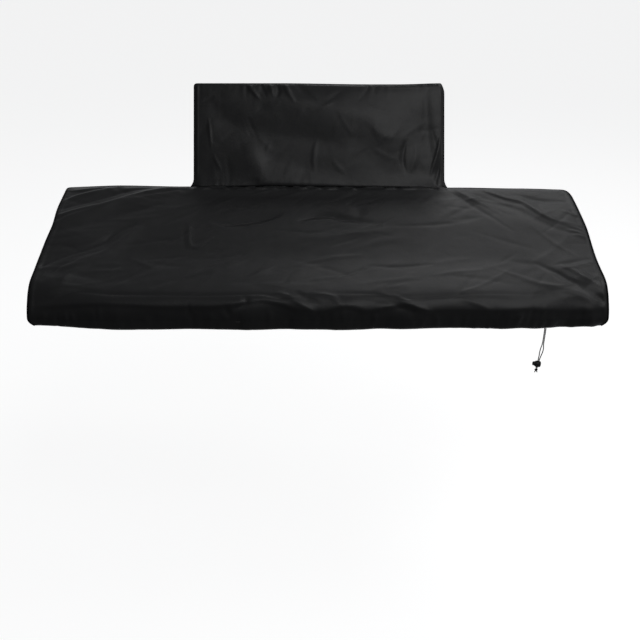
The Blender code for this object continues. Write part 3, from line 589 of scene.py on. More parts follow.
class Finish:
    """A material, or the world, under construction."""

    def __init__(self, owner):
        self.owner = owner
        owner.use_nodes = True
        self.tree = owner.node_tree
        self.tree.nodes.clear()

    def node(self, kind, settings=None, inputs=None, output=0):
        """Add a node, set it, then fill or link its sockets, and give one output."""
        node = self.tree.nodes.new(kind)
        for name, value in (settings or {}).items():
            setattr(node, name, value)
        for name, value in (inputs or {}).items():
            if isinstance(value, Value):
                self.tree.links.new(value.socket, node.inputs[name])
            else:
                node.inputs[name].default_value = value
        return Value(self, node.outputs[output]) if node.outputs else None

    def split(self, vector):
        """The x, y and z of a vector."""
        first = self.node("ShaderNodeSeparateXYZ", None, {0: vector})
        outputs = first.socket.node.outputs
        return [Value(self, outputs[k]) for k in range(3)]

    def flat(self):
        """Distances along and across the flat cloth, in metres."""
        return self.split(self.node("ShaderNodeUVMap", {"uv_map": "flat"}))[:2]

    def place(self):
        """The place on the piece, in metres."""
        return self.node("ShaderNodeTexCoord", None, None, 3)

    def noise(self, vector, size, detail=2.0, roughness=0.5):
        """A noise from 0 to 1 whose patches are about this size, in metres."""
        inputs = {"Vector": vector, "Scale": 1 / size, "Detail": detail, "Roughness": roughness}
        return self.node("ShaderNodeTexNoise", {"noise_dimensions": "3D"}, inputs)

    def mix(self, share, first, second):
        """A colour between two colours."""
        settings = {"data_type": "RGBA"}
        inputs = {0: share, 6: first, 7: second}
        return self.node("ShaderNodeMix", settings, inputs, 2)

    def bump(self, height, strength, distance, normal=None):
        """A normal that follows a height from 0 to 1, this many metres deep."""
        inputs = {"Height": height, "Strength": strength, "Distance": distance}
        if normal:
            inputs["Normal"] = normal
        return self.node("ShaderNodeBump", None, inputs)

    def step(self, value, start, end):
        """A smooth step from 0 to 1 as the value goes from start to end."""
        inputs = {"Value": value, "From Min": start, "From Max": end}
        return self.node("ShaderNodeMapRange", {"interpolation_type": "SMOOTHSTEP"}, inputs)

    def surface(self, inputs):
        """The shader that the material ends in."""
        shader = self.node("ShaderNodeBsdfPrincipled", None, inputs)
        self.node("ShaderNodeOutputMaterial", None, {"Surface": shader})
        return self.owner


def shaded(colour, factor):
    """A colour with its brightness changed, with full alpha."""
    return (*(min(part * factor, 1.0) for part in colour), 1.0)


def cloth_finish():
    """Coated nylon: a fine plain weave with a satin sheen, faint wrinkles and painted shade in the gaps
    of the weave.
    """
    settings = bpy.context.scene.cover_cloth
    finish = Finish(bpy.data.materials.new("coated_nylon"))
    along, across = finish.flat()
    turns = math.pi / settings.thread_spacing
    warp = abs((along * turns).sine())
    weft = abs((across * turns).sine())
    over = 0.5 + 0.5 * ((along * turns).sine() * (across * turns).sine())
    weave = warp * over + weft * (1 - over)
    place = finish.place()
    patches = finish.noise(place, 0.12, 3.0)
    rubbed = finish.noise(place, 0.014, 3.0, 0.6)
    wrinkles = finish.noise(place, 0.035, 4.0, 0.55)
    colour = finish.mix(patches, shaded(settings.colour, 0.88), shaded(settings.colour, 1.12))
    # A darker tone over the whole cloth, darkest in the gaps between the threads where the weave's bump
    # dips: the darker gaps are painted shade.
    colour = finish.mix(weave * 0.25, shaded(settings.colour, 0.80), colour)
    roughness = 0.35 + 0.08 * patches + 0.06 * rubbed
    creased = finish.bump(wrinkles, 0.35, 0.0012)
    woven = finish.bump(weave, 0.30, 0.00012, creased)
    return finish.surface({
        "Base Color": colour, "Roughness": roughness, "Normal": woven,
        "Specular IOR Level": 0.5, "Sheen Weight": 0.05, "Sheen Roughness": 0.4,
    })


def tape_finish():
    """Binding tape: small ribs across it, matte."""
    colour = bpy.context.scene.cover_seams.colour
    finish = Finish(bpy.data.materials.new("binding_tape"))
    along, around = finish.flat()
    ribs = abs((along * (math.pi / 0.0007)).sine())
    threads = abs((around * (math.pi / 0.0005)).sine())
    place = finish.place()
    worn = finish.noise(place, 0.02, 3.0)
    tint = finish.mix(worn, shaded(colour, 0.8), shaded(colour, 1.3))
    raised = finish.bump(ribs * 0.7 + threads * 0.3, 0.5, 0.00015)
    return finish.surface({
        "Base Color": tint, "Roughness": 0.74 + 0.12 * worn, "Normal": raised,
        "Specular IOR Level": 0.2,
    })


def thread_finish():
    """Sewing thread: two plies twisted together, with a slight shine and a painted highlight on the
    crest of each ply.
    """
    colour = bpy.context.scene.cover_seams.colour
    finish = Finish(bpy.data.materials.new("sewing_thread"))
    along, around = finish.flat()
    twist = abs(((along + around * 0.6) * (math.pi / 0.0006)).sine())
    # The crest of each ply, where the bump rises, is painted lighter: a painted highlight along the
    # twist.
    tint = finish.mix(twist, shaded(colour, 0.9), shaded(colour, 1.6))
    return finish.surface({
        "Base Color": tint, "Roughness": 0.68 - 0.10 * twist,
        "Normal": finish.bump(twist, 0.5, 0.0001), "Specular IOR Level": 0.25,
    })


def cord_finish():
    """Braided polyester cord."""
    settings = bpy.context.scene.cover_string
    finish = Finish(bpy.data.materials.new("braided_cord"))
    along, around = finish.flat()
    fibres = abs(((along + around * 1.4) * (math.pi / 0.00028)).sine())
    place = finish.place()
    fuzz = finish.noise(place, 0.0015, 4.0)
    tint = finish.mix(fuzz, shaded(settings.colour, 0.7), shaded(settings.colour, 1.8))
    raised = finish.bump(fibres * 0.6 + fuzz * 0.4, 0.5, 0.00008)
    return finish.surface({
        "Base Color": tint, "Roughness": 0.6 + 0.15 * fuzz, "Normal": raised,
        "Specular IOR Level": 0.4, "Sheen Weight": 0.3,
    })


def plastic_finish():
    """Moulded plastic with a fine spark-eroded grain and lighter rubbed patches."""
    settings = bpy.context.scene.cover_string
    finish = Finish(bpy.data.materials.new("moulded_plastic"))
    place = finish.place()
    grain = finish.noise(place, 0.0005, 3.0, 0.6)
    worn = finish.noise(place, 0.006, 3.0)
    tint = finish.mix(worn, shaded(settings.lock_colour, 0.9), shaded(settings.lock_colour, 1.6))
    return finish.surface({
        "Base Color": tint, "Roughness": 0.34 + 0.16 * worn,
        "Normal": finish.bump(grain, 0.25, 0.00006), "Specular IOR Level": 0.5,
    })


def floor_finish():
    """The plain pale floor of the studio."""
    settings = bpy.context.scene.cover_stage
    finish = Finish(bpy.data.materials.new("studio_floor"))
    place = finish.place()
    cloudy = finish.noise(place, 0.8, 2.0)
    colour = settings.floor_colour
    tint = finish.mix(cloudy, shaded(colour, 0.995), shaded(colour, 1.0))
    return finish.surface({
        "Base Color": tint, "Roughness": 0.9, "Specular IOR Level": 0.0,
        "Emission Color": (1.0, 1.0, 1.0, 1.0), "Emission Strength": 0.75,
    })


# The finishes made so far, by name
MADE = {}


def finish_of(kind):
    """The finish of this name, made the first time that it is asked for."""
    makers = {
        "cloth": cloth_finish, "tape": tape_finish, "thread": thread_finish,
        "cord": cord_finish, "plastic": plastic_finish, "floor": floor_finish,
    }
    if kind not in MADE:
        MADE[kind] = makers[kind]()
    return MADE[kind]


def mix(a, b, share):
    """Value between a and b."""
    return a + (b - a) * share


def ease(share):
    """Smooth step from 0 to 1, flat at both ends."""
    share = min(max(share, 0.0), 1.0)
    return share * share * (3 - 2 * share)


def smooth_through(values, t):
    """Value at t of a smooth curve through values that lie at t = 0, 1, 2, ..."""
    last = len(values) - 1
    k = min(max(int(t), 0), last - 1)
    f = t - k
    before, here = values[max(k - 1, 0)], values[k]
    after, beyond = values[k + 1], values[min(k + 2, last)]
    slope = after - before
    bend = 2 * before - 5 * here + 4 * after - beyond
    turn = 3 * here - before - 3 * after + beyond
    return 0.5 * (2 * here + slope * f + bend * f * f + turn * f * f * f)


def until(t, end, reach):
    """1 well before an end, and 0 from there on."""
    return ease((end - t) / reach)


def from_table(table, x):
    """Value at x of a smooth curve through the table's (x, value) rows."""
    if x <= table[0][0]:
        return table[0][1]
    for (x1, value1), (x2, value2) in zip(table, table[1:]):
        if x <= x2:
            return mix(value1, value2, ease((x - x1) / (x2 - x1)))
    return table[-1][1]


def soft(share):
    """The same smooth step at many places at once."""
    share = numpy.clip(share, 0.0, 1.0)
    return share * share * (3 - 2 * share)


class Creases:
    """A table of creases, ready to be measured at many places at once."""

    def __init__(self, table, steps=CREASE_STEPS):
        self.rows = []
        for _, height, left, right, route in table:
            spread = [
                [smooth_through(values, k / steps) for values in zip(*route)]
                for k in range((len(route) - 1) * steps + 1)
            ]
            self.rows.append((height, left, right, numpy.array(spread)))

    def height(self, a, b):
        """Height of all the creases at the places (a, b) of their sheet."""
        total = numpy.zeros(a.shape)
        for height, left, right, route in self.rows:
            reach = CREASE_REACH * max(left, right)
            low, high = route.min(axis=0) - reach, route.max(axis=0) + reach
            near = (a > low[0]) & (a < high[0]) & (b > low[1]) & (b < high[1])
            if near.any():
                total[near] += height * self.share(a[near], b[near], left, right, route)
        return total

    def share(self, a, b, left, right, route):
        """How much of one crease's height is there at each place."""
        nearest = numpy.full(a.shape, 1e9)
        side, share = numpy.zeros(a.shape), numpy.zeros(a.shape)
        for (a1, b1, share1), (a2, b2, share2) in zip(route, route[1:]):
            run_a, run_b = a2 - a1, b2 - b1
            along = ((a - a1) * run_a + (b - b1) * run_b) / (run_a**2 + run_b**2)
            along = numpy.clip(along, 0.0, 1.0)
            gap_a, gap_b = a - a1 - along * run_a, b - b1 - along * run_b
            gap = gap_a**2 + gap_b**2
            closer = gap < nearest
            nearest = numpy.where(closer, gap, nearest)
            side = numpy.where(closer, gap_b * run_a - gap_a * run_b, side)
            share = numpy.where(closer, mix(share1, share2, along), share)
        width = numpy.where(side > 0, left, right)
        width = width * (CREASE_END_WIDTH + (1 - CREASE_END_WIDTH) * share)
        return share * numpy.exp(-((numpy.sqrt(nearest) / width) ** CREASE_SHARPNESS))


def faint_creases(seed, count, a_range, b_range, lean, spread, lengths, widths, heights):
    """Creases left by folding and handling, scattered over a sheet.

    They lie at about the lean in degrees, give or take the spread.
    """
    pick = random.Random(seed)
    table = []
    for k in range(count):
        a, b = pick.uniform(*a_range), pick.uniform(*b_range)
        angle = math.radians(pick.gauss(lean, spread))
        reach = pick.uniform(*lengths) / 2
        run_a, run_b = reach * math.cos(angle), reach * math.sin(angle)
        bow = pick.uniform(-0.12, 0.12)
        middle = (a - bow * run_b, b + bow * run_a, 1.0)
        route = [(a - run_a, b - run_b, 0.1), middle, (a + run_a, b + run_b, 0.1)]
        height = pick.uniform(*heights) * pick.choice((-1, 1))
        width = pick.uniform(*widths)
        table.append((f"faint {k}", height, width, width * pick.uniform(0.7, 1.5), route))
    return Creases(table, 3)


TOP = Creases(TOP_CREASES)
FRONT = Creases(FRONT_CREASES)
POCKET = Creases(POCKET_CREASES)
FAINT_TOP = faint_creases(
    seed=7, count=150, a_range=(-0.66, 0.66), b_range=(0.04, 0.46), lean=16, spread=24,
    lengths=(0.05, 0.21), widths=(0.004, 0.011), heights=(0.0003, 0.0012),
)
FAINT_DROP = faint_creases(
    seed=11, count=90, a_range=(-0.66, 0.66), b_range=(0.004, 0.045), lean=90, spread=14,
    lengths=(0.02, 0.05), widths=(0.003, 0.009), heights=(0.0004, 0.0018),
)
FAINT_POCKET = faint_creases(
    seed=13, count=70, a_range=(-0.33, 0.33), b_range=(0.02, 0.27), lean=60, spread=50,
    lengths=(0.03, 0.10), widths=(0.005, 0.012), heights=(0.0002, 0.0008),
)
FAINT_SKIRT = faint_creases(
    seed=17, count=150, a_range=(0.02, 2.25), b_range=(0.01, 0.20), lean=70, spread=45,
    lengths=(0.04, 0.14), widths=(0.004, 0.012), heights=(0.0003, 0.0014),
)


def wave_depth(waves, place):
    """Depth of all the soft waves at a place along a hem."""
    return sum(
        depth * math.exp(-(((place - middle) / half_width) ** 2))
        for middle, half_width, depth in waves
    )


def noise_at(a, b, size_a, size_b, seed):
    """Soft noise from -1 to 1 at many places, in patches of these sizes."""
    values = [
        noise.noise((x / size_a, y / size_b, seed)) for x, y in zip(a.ravel(), b.ravel())
    ]
    return numpy.array(values).reshape(a.shape)


def crumple(a, b, seed):
    """Height of the soft swells of a lightly crumpled sheet, about -1 to 1."""
    return sum(
        share * noise_at(a, b, size_a, size_b, seed + shift)
        for size_a, size_b, shift, share in SWELLS
    )


def pucker(along, away, reach, seed):
    """Height of the gathers beside a seam, about -1 to 1."""
    wave = noise_at(along, away, 0.011, 0.05, seed)
    wave += 0.6 * noise_at(along, away, 0.026, 0.05, seed + 3.9)
    patch = soft(0.55 + 1.6 * noise_at(along, along, 0.09, 0.3, seed + 1.7))
    return wave * patch * numpy.exp(-away / reach) * soft(away / 0.003)


def foot_gathers(x, away, seed):
    """Height of the short folds that lie along the pocket's foot, about 0 to 1."""
    total = numpy.zeros(x.shape)
    for k, (start, width) in enumerate(FOOT_ROWS):
        place = start + 0.005 * noise_at(x, x, 0.045, 1.0, seed + k)
        there = soft(0.45 + 1.9 * noise_at(x, x, 0.022, 1.0, seed + 7.3 + k))
        total += there * numpy.exp(-(((away - place) / width) ** 2))
    return total


def ridge(away, height, middle, half_width):
    """Height of a low ridge, or groove, that runs along a seam."""
    return height * numpy.exp(-(((away - middle) / half_width) ** 2))


def section_rows(step):
    """Values of t from the hem to the back seam, closer together at the back."""
    rows = []
    for k, (*_, length) in enumerate(SECTION[:-1]):
        finer = BACK_STEP_SHARE if k >= PANEL_BACK else 1.0
        count = max(2, round(length / (step * finer)))
        if k == RIDGE:
            rows += [k + math.sin(math.pi / 2 * j / count) for j in range(count)]
        else:
            rows += [k + j / count for j in range(count)]
    return rows + [len(SECTION) - 1]


COLUMNS = list(zip(*SECTION))


def section_point(t, middle):
    """(y, z) of the section at t, between the end (0) and half way along (1)."""
    end_y, end_z, mid_y, mid_z = (smooth_through(c, t) for c in COLUMNS[1:5])
    return mix(end_y, mid_y, middle), mix(end_z, mid_z, middle)


def section_run(t):
    """How far the end's section runs in y and in z close to t."""
    ahead = section_point(min(t + SLOPE_REACH, len(SECTION) - 1), 0.0)
    behind = section_point(max(t - SLOPE_REACH, 0), 0.0)
    return ahead[0] - behind[0], ahead[1] - behind[1]


def cloth_distance(t):
    """Distance from the hem along the cloth to t."""
    k = min(int(t), len(SECTION) - 2)
    return sum(COLUMNS[5][:k]) + (t - k) * COLUMNS[5][k]


def pillow(u):
    """The pocket's fullness across its width, 0 at the sides and 1 inside."""
    return ease((1 - abs(u)) / PILLOW_SHARE)


def pocket_fullness(u):
    """The depth of the pocket's front across its width, as a share of the most."""
    step = POCKET_SIDE_STEP * ease((1 - abs(u)) / POCKET_STEP_SHARE)
    return step + (1 - POCKET_SIDE_STEP) * (1 - u * u)


def notch(x):
    """How far the pocket's seam lies in front of the back edge."""
    half = POCKET_BASE_HALF + NOTCH_MARGIN
    return POCKET_DEPTH * pillow(min(abs(x - POCKET_MIDDLE_X) / half, 1))


def corner_turn(side, y):
    """How far a side seam has turned at y, up to a right angle at the back."""
    reach = CORNER_REACH[side][1]
    return math.asin(min(max((y - BACK_Y + reach) / reach, 0.0), 1.0))


def corner_outward(side, turn):
    """Direction straight out of the back corner after that much turn."""
    reach_x, reach_y = CORNER_REACH[side]
    return Vector((side * math.cos(turn) * reach_y, math.sin(turn) * reach_x, 0)).normalized()


def seam_point(side, t, inset=0.0):
    """Point of the side seam at t, or that far inside it along the cloth."""
    y, z = section_point(t, 0.0)
    reach_x, reach_y = CORNER_REACH[side]
    turn = corner_turn(side, y)
    x = LENGTH / 2 - reach_x + (reach_x - inset) * math.cos(turn)
    x -= wave_depth(SEAM_EASE[side], y)
    if turn > 0:
        y = BACK_Y - reach_y + (reach_y - inset) * math.sin(turn)
    hem = SECTION[0][2]
    x -= HEM_TUCK * max(0.0, 1 - (z - hem) / HEM_TUCK_HEIGHT) ** 2
    lift = from_table(BACK_LIFT, side * x) * (y / BACK_Y) ** 2
    return Vector((side * x, y, z + lift))


def panel_point(u, t):
    """Point of the main panel, u from -1 at the left seam to 1 at the right."""
    left = seam_point(-1, t, SEAM_INSET)
    right = seam_point(1, t, SEAM_INSET)
    x = mix(left.x, right.x, (u + 1) / 2)
    middle = ease((LENGTH / 2 - SAG_START - abs(x)) / SAG_REACH)
    y, z = section_point(t, middle)
    edge = mix(left.y, right.y, (u + 1) / 2) - section_point(t, 0.0)[0]
    back = min(max(t - RIDGE, 0.0), 1.0)
    if back > 0:
        edge = mix(-SEAM_INSET * back, edge, ease((abs(u) - 1 + CORNER_SHARE) / CORNER_SHARE))
    pulled = notch(x) * max(0.0, (t - PANEL_BACK) / 2) ** 1.5
    z += from_table(BACK_LIFT, x) * (y / BACK_Y) ** 2
    z += NOTCH_LIFT / POCKET_DEPTH * pulled
    inner = ease((1 - abs(u)) / SIDE_SHARE)
    push = inner * until(t, *WAVE_END) * wave_depth(DROP_WAVES, x)
    z += inner * until(t, *HEM_END) * from_table(FRONT_HEM, x)
    slope = TOP_ANGLE + (math.pi / 2 - TOP_ANGLE) * until(t, *TURN_END)
    y += edge - pulled - math.sin(slope) * push
    z += math.cos(slope) * push
    return Vector((x, y, z))


def back_height(x):
    """Height at x of the back seam."""
    return SECTION[-1][2] + from_table(BACK_LIFT, x)


def back_edge(x):
    """Point at x of the line where the main panel ends at the back."""
    pulled = notch(x)
    z = back_height(x)
    z += NOTCH_LIFT / POCKET_DEPTH * pulled
    return Vector((x, BACK_Y - pulled, z))


def pocket_half(side, height, inset):
    """Half width of the pocket at a height, with its flared foot and its corner."""
    flare = POCKET_BASE_HALF - POCKET_HALF
    half = POCKET_HALF - inset
    half += flare * max(0.0, 1 - height / POCKET_FLARE_HEIGHT) ** 2
    corner = height - (POCKET_HEIGHT - POCKET_CORNER)
    if side < 0 and corner > 0:
        reach = POCKET_CORNER - inset
        half -= reach - math.sqrt(max(reach**2 - corner**2, 0.0))
    if side > 0:
        chamfer = height - (POCKET_HEIGHT - POCKET_CHAMFER_HEIGHT)
        half -= POCKET_CHAMFER * max(0.0, chamfer / POCKET_CHAMFER_HEIGHT) ** 1.5
    return half


def pocket_plane(x, height):
    """Point of the leaning plane in which the pocket's binding lies."""
    lift = from_table(BACK_LIFT, x) * max(0.0, 1 - height / POCKET_LIFT_FADE)
    sag = POCKET_TOP_SAG * ease((x + 0.1) / 0.25) * ease((0.34 - x) / 0.12)
    height -= sag * (height / POCKET_HEIGHT) ** 4
    y = BACK_Y + height * math.sin(POCKET_LEAN)
    z = SECTION[-1][2] + lift + height * math.cos(POCKET_LEAN)
    return Vector((x, y, z))


def pocket_point(u, height, forward):
    """Point of the pocket's front (forward 1) or back (forward -1)."""
    side = -1 if u < 0 else 1
    top = POCKET_HEIGHT - SEAM_INSET
    half = pocket_half(side, height, SEAM_INSET)
    x = POCKET_MIDDLE_X + u * half
    share = min(height / top, 1.0)
    crown = math.sqrt(max(1 - share**10, 0.0))
    if forward > 0:
        depth = POCKET_DEPTH * (1 - POCKET_TAPER * share) * crown * pocket_fullness(u)
    else:
        depth = POCKET_BACK_DEPTH * crown * ease(height / POCKET_FOOT_HEIGHT) * pillow(u)
    outward = POCKET_OUT * forward
    point = pocket_plane(x, height) + outward * (LAYER_OFFSET + depth)
    foot = pocket_plane(x, 0) + outward * (LAYER_OFFSET + depth)
    if forward > 0:
        seam = back_edge(x) + POCKET_UP * SEAM_GAP
    else:
        seam = Vector((x, BACK_Y, back_height(x))) - Vector((0, 0, SEAM_GAP))
    return point + (seam - foot) * max(0.0, 1 - height / POCKET_FOOT_HEIGHT) ** 2


def finished_piece(name, mesh, kind, slot, *nodes):
    """A piece in the scene that rides on the cover and stands for these nodes."""
    piece = bpy.data.objects.new(name, mesh)
    bpy.context.scene.collection.objects.link(piece)
    mesh.materials.append(finish_of(kind))
    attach(piece, "root")
    if nodes:
        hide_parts(*nodes)
    return piece


def set_flat(mesh, flat):
    """Keep each point's place on the flat cloth, in metres, as its UV."""
    layer = mesh.uv_layers.new(name="flat")
    corners = numpy.zeros(len(mesh.loops), dtype=numpy.int32)
    mesh.loops.foreach_get("vertex_index", corners)
    layer.data.foreach_set("uv", flat[corners].astype(numpy.float32).ravel())


# Each sheet's points and directions, and the lines to be stitched, by name
SHEETS = {}
LINES = {}


def flat_mesh(name, verts, faces, flat):
    """A smooth mesh that knows each point's place on the flat cloth."""
    mesh = bpy.data.meshes.new(name)
    mesh.from_pydata(verts, [], faces)
    set_flat(mesh, flat)
    mesh.shade_smooth()
    return mesh


def tube_mesh(name, verts, flat, sides):
    """A closed mesh of rings with this many sides, one after the other."""
    faces = []
    for k in range(0, len(verts) - sides, sides):
        for side in range(sides):
            a, b = k + side, k + (side + 1) % sides
            faces.append((a, b, b + sides, a + sides))
    faces.append(tuple(range(sides))[::-1])
    faces.append(tuple(range(len(verts) - sides, len(verts))))
    return flat_mesh(name, verts, faces, numpy.array(flat))


def run_at(points, k):
    """The way that a line runs at one of its points, from neighbour to neighbour."""
    return points[min(k + 1, len(points) - 1)] - points[max(k - 1, 0)]


def cloth_sheet(name, columns, rows, place, relief, nodes):
    """A sheet of cloth, whose points and directions are kept for its stitches.

    place(column, row) gives a point and its distances along and down the flat
    cloth, and relief(x, y, along, down) gives the height of the folds there.
    """
    points = numpy.zeros((rows + 1, columns + 1, 3))
    flat = numpy.zeros((rows + 1, columns + 1, 2))
    for row in range(rows + 1):
        for column in range(columns + 1):
            point, along, down = place(column, row)
            points[row, column] = point
            flat[row, column] = along, down
    height = relief(points[..., 0], points[..., 1], flat[..., 0], flat[..., 1])
    normals = numpy.cross(numpy.gradient(points, axis=1), numpy.gradient(points, axis=0))
    normals /= numpy.maximum(numpy.linalg.norm(normals, axis=2, keepdims=True), 1e-12)
    points += height[..., None] * normals
    SHEETS[name] = points, normals
    width = columns + 1
    faces = [
        (k, k + 1, k + 1 + width, k + width)
        for row in range(rows)
        for k in range(row * width, row * width + columns)
    ]
    verts = (points - numpy.array(ORIGIN)).reshape(-1, 3).tolist()
    mesh = flat_mesh(name, verts, faces, flat.reshape(-1, 2))
    sheet = finished_piece(name, mesh, "cloth", "cover_cloth", *nodes)
    thicken = sheet.modifiers.new("cloth thickness", "SOLIDIFY")
    thicken.thickness = bpy.context.scene.cover_cloth.thickness
    thicken.offset = 0.0
    return sheet


def swept_mesh(name, points, outwards, profile, uneven=0.0):
    """A closed mesh with this profile of (outward, across) along the points."""
    verts, flat = [], []
    distance = 0.0
    around = [0.0]
    for here, after in zip(profile, profile[1:]):
        around.append(around[-1] + math.dist(here, after))
    for k, (point, outward) in enumerate(zip(points, outwards)):
        tangent = run_at(points, k).normalized()
        out = (outward - tangent * outward.dot(tangent)).normalized()
        across = tangent.cross(out)
        if k:
            distance += (point - points[k - 1]).length
        swell = 1 + uneven * noise.noise((distance / 0.006, 3.1, 0.4))
        for (a, b), girth in zip(profile, around):
            verts.append(point - ORIGIN + swell * (out * a + across * b))
            flat.append((distance, girth))
    return tube_mesh(name, verts, flat, len(profile))


def rounded_profile(reach, half_thickness, sides=14, squareness=2.6):
    """A flattened round outline, as (outward, across) points."""
    outline = []
    for k in range(sides):
        angle = 2 * math.pi * k / sides
        c, s = math.cos(angle), math.sin(angle)
        a = math.copysign(abs(c) ** (2 / squareness), c) * reach
        b = math.copysign(abs(s) ** (2 / squareness), s) * half_thickness
        outline.append((a, b))
    return outline


def resampled(points, ups, step):
    """A line's points and directions again, this far apart."""
    lengths = [0.0]
    for here, after in zip(points, points[1:]):
        lengths.append(lengths[-1] + (after - here).length)
    count = max(1, round(lengths[-1] / step))
    found, k = [], 0
    for j in range(count + 1):
        target = lengths[-1] * j / count
        while k < len(lengths) - 2 and lengths[k + 1] < target:
            k += 1
        share = (target - lengths[k]) / max(lengths[k + 1] - lengths[k], 1e-9)
        found.append((points[k].lerp(points[k + 1], share), ups[k].lerp(ups[k + 1], share)))
    return [p for p, _ in found], [u for _, u in found]


def stitching(name, runs, slot="seam_binding"):
    """Rows of stitches along runs of (points, directions out of the cloth)."""
    settings = bpy.context.scene.cover_seams
    radius, sides, rings = settings.thread_radius, THREAD_SIDES, THREAD_RINGS
    pitch = settings.stitch_length + settings.stitch_gap
    verts, flat, faces = [], [], []
    for points, ups in runs:
        points, ups = resampled(points, ups, pitch)
        for here, after, up in zip(points, points[1:], ups):
            run = after - here
            tangent = run.normalized()
            up = (up - tangent * up.dot(tangent)).normalized()
            across = tangent.cross(up)
            length = run.length - settings.stitch_gap
            base = len(verts)
            for ring in range(rings):
                share = ring / (rings - 1)
                arch = math.sin(math.pi * share)
                girth = radius * (0.45 + 0.55 * arch)
                centre = here - ORIGIN + tangent * (length * share)
                centre += up * (radius * (1.5 * arch - 0.5))
                for side in range(sides):
                    angle = 2 * math.pi * side / sides
                    offset = up * math.cos(angle) + across * math.sin(angle)
                    verts.append(centre + offset * girth)
                    flat.append((length * share, radius * angle))
            for ring in range(rings - 1):
                for side in range(sides):
                    a = base + ring * sides + side
                    b = base + ring * sides + (side + 1) % sides
                    faces.append((a, a + sides, b + sides, b))
            faces.append(tuple(base + k for k in range(sides)))
            last = base + (rings - 1) * sides
            faces.append(tuple(last + k for k in range(sides))[::-1])
    mesh = flat_mesh(name, verts, faces, numpy.array(flat))
    return finished_piece(name, mesh, "thread", slot)


def hem_relief(along, distance, seed):
    """Relief of a hem: its cord channel, its stitched line and its gathers."""
    cord, line = ridge(distance, *HEM_CORD), ridge(distance, *HEM_GROOVE)
    gather = noise_at(along, distance, 0.013, 0.03, seed)
    gather += 0.5 * noise_at(along, distance, 0.03, 1.0, seed + 4.0)
    reach = soft((0.040 - distance) / 0.030) * soft(distance / 0.004)
    return cord + line + HEM_GATHER * gather * reach


def turned_hem(outer, inward, q):
    """Point of the hem's turned-up layer, q from 0 at the fold to 1."""
    return outer + inward * HEM_LAYER * ease(q / 0.14)


def sheet_line(name, rows, first, last):
    """A line across a sheet from one column to another, at a row for each column."""
    points, normals = SHEETS[name]
    line, ups = [], []
    for column in range(first, last + 1):
        k = min(int(rows[column]), len(points) - 2)
        share = rows[column] - k
        line.append(Vector(mix(points[k, column], points[k + 1, column], share)))
        ups.append(Vector(mix(normals[k, column], normals[k + 1, column], share)))
    return line, ups


CAMERA_PLACE = (0.0054, -2.1586, 0.6897)
SENSOR_WIDTH = 36.0

# Where parts of the dome's light fade in, as (start, end) of a direction's y or z
RISE_Z = (-0.20, 0.75)
BACKDROP_Y = (0.75, 0.92)
BACKDROP_Z = (0.0, 0.10)
GLOW_Y = (-0.60, 0.20)
GLOW_Z = (0.05, -0.15)
LEAST_LEAN = 0.2
SKY_COLOUR = (0.96, 0.98, 1.0, 1.0)

# The studio's lights, as (name, place, size, power in watts, where it points)
LIGHTS = [
    ("right softbox", (2.2, 0.4, 2.9), (1.6, 1.6), 15.0, (0.0, 0.1, 0.0)),
    ("back softbox", (0.95, 3.1, 3.4), (1.9, 1.3), 14.0, (0.2, 0.2, 0.0)),
    ("front softbox", (0.85, -1.5, 2.0), (1.8, 1.2), 10.0, (0.2, 0.25, 0.2)),
]


class COVER_OT_stage(bpy.types.Operator):
    """Make the camera, the pale floor and the soft lights"""

    bl_idname = "piano_cover.stage"
    bl_label = "Stage"
    bl_options = {"REGISTER", "UNDO"}

    def execute(self, context):
        settings = context.scene.cover_stage
        scene = context.scene
        scene.view_settings.view_transform = "Standard"
        camera = bpy.data.cameras.new("camera")
        camera.lens, camera.sensor_width = settings.lens, SENSOR_WIDTH
        eye = bpy.data.objects.new("camera", camera)
        eye.location = CAMERA_PLACE
        eye.rotation_euler = (math.pi / 2 - settings.pitch, 0, 0)
        scene.collection.objects.link(eye)
        scene.camera = eye

        half = settings.floor_size / 2
        mesh = bpy.data.meshes.new("studio_floor")
        corners = [(-half, -half, 0), (half, -half, 0), (half, half, 0), (-half, half, 0)]
        mesh.from_pydata(corners, [], [(0, 1, 2, 3)])
        mesh.materials.append(finish_of("floor"))
        floor = bpy.data.objects.new("studio_floor", mesh)
        floor.location.z = -ORIGIN.z - settings.floor_drop
        floor.visible_diffuse = floor.visible_glossy = False
        scene.collection.objects.link(floor)

        scene.world = self.dome(settings)
        for name, place, size, power, aim in LIGHTS:
            light = bpy.data.lights.new(name, "AREA")
            light.shape = "RECTANGLE"
            light.size, light.size_y = size
            light.energy = power
            lamp = bpy.data.objects.new(name, light)
            lamp.location = place
            run = Vector(aim) - Vector(place)
            lamp.rotation_euler = run.to_track_quat("-Z", "Y").to_euler()
            scene.collection.objects.link(lamp)
        return {"FINISHED"}

    def dome(self, settings):
        """Soft light from all round, with a pale backdrop and a glow from the floor.

        It is strongest overhead and towards the right, and the camera sees it white.
        """
        world = bpy.data.worlds.new("studio")
        sky = Finish(world)
        x, y, z = sky.split(sky.node("ShaderNodeTexCoord"))
        rise = settings.dome_high - settings.dome_low
        lean = (1 + settings.dome_lean * x).larger(LEAST_LEAN)
        level = (settings.dome_low + sky.step(z, *RISE_Z) * rise) * lean
        level += sky.step(y, *BACKDROP_Y) * sky.step(z, *BACKDROP_Z) * settings.backdrop
        beside = sky.step(y, *GLOW_Y) * sky.step(z, *GLOW_Z)
        level += beside * lean * lean * settings.floor_glow
        seen = sky.node("ShaderNodeLightPath")
        light = sky.node("ShaderNodeBackground", None, {
            "Color": SKY_COLOUR, "Strength": level + seen * (1.0 - level),
        })
        sky.node("ShaderNodeOutputWorld", None, {"Surface": light})
        return world


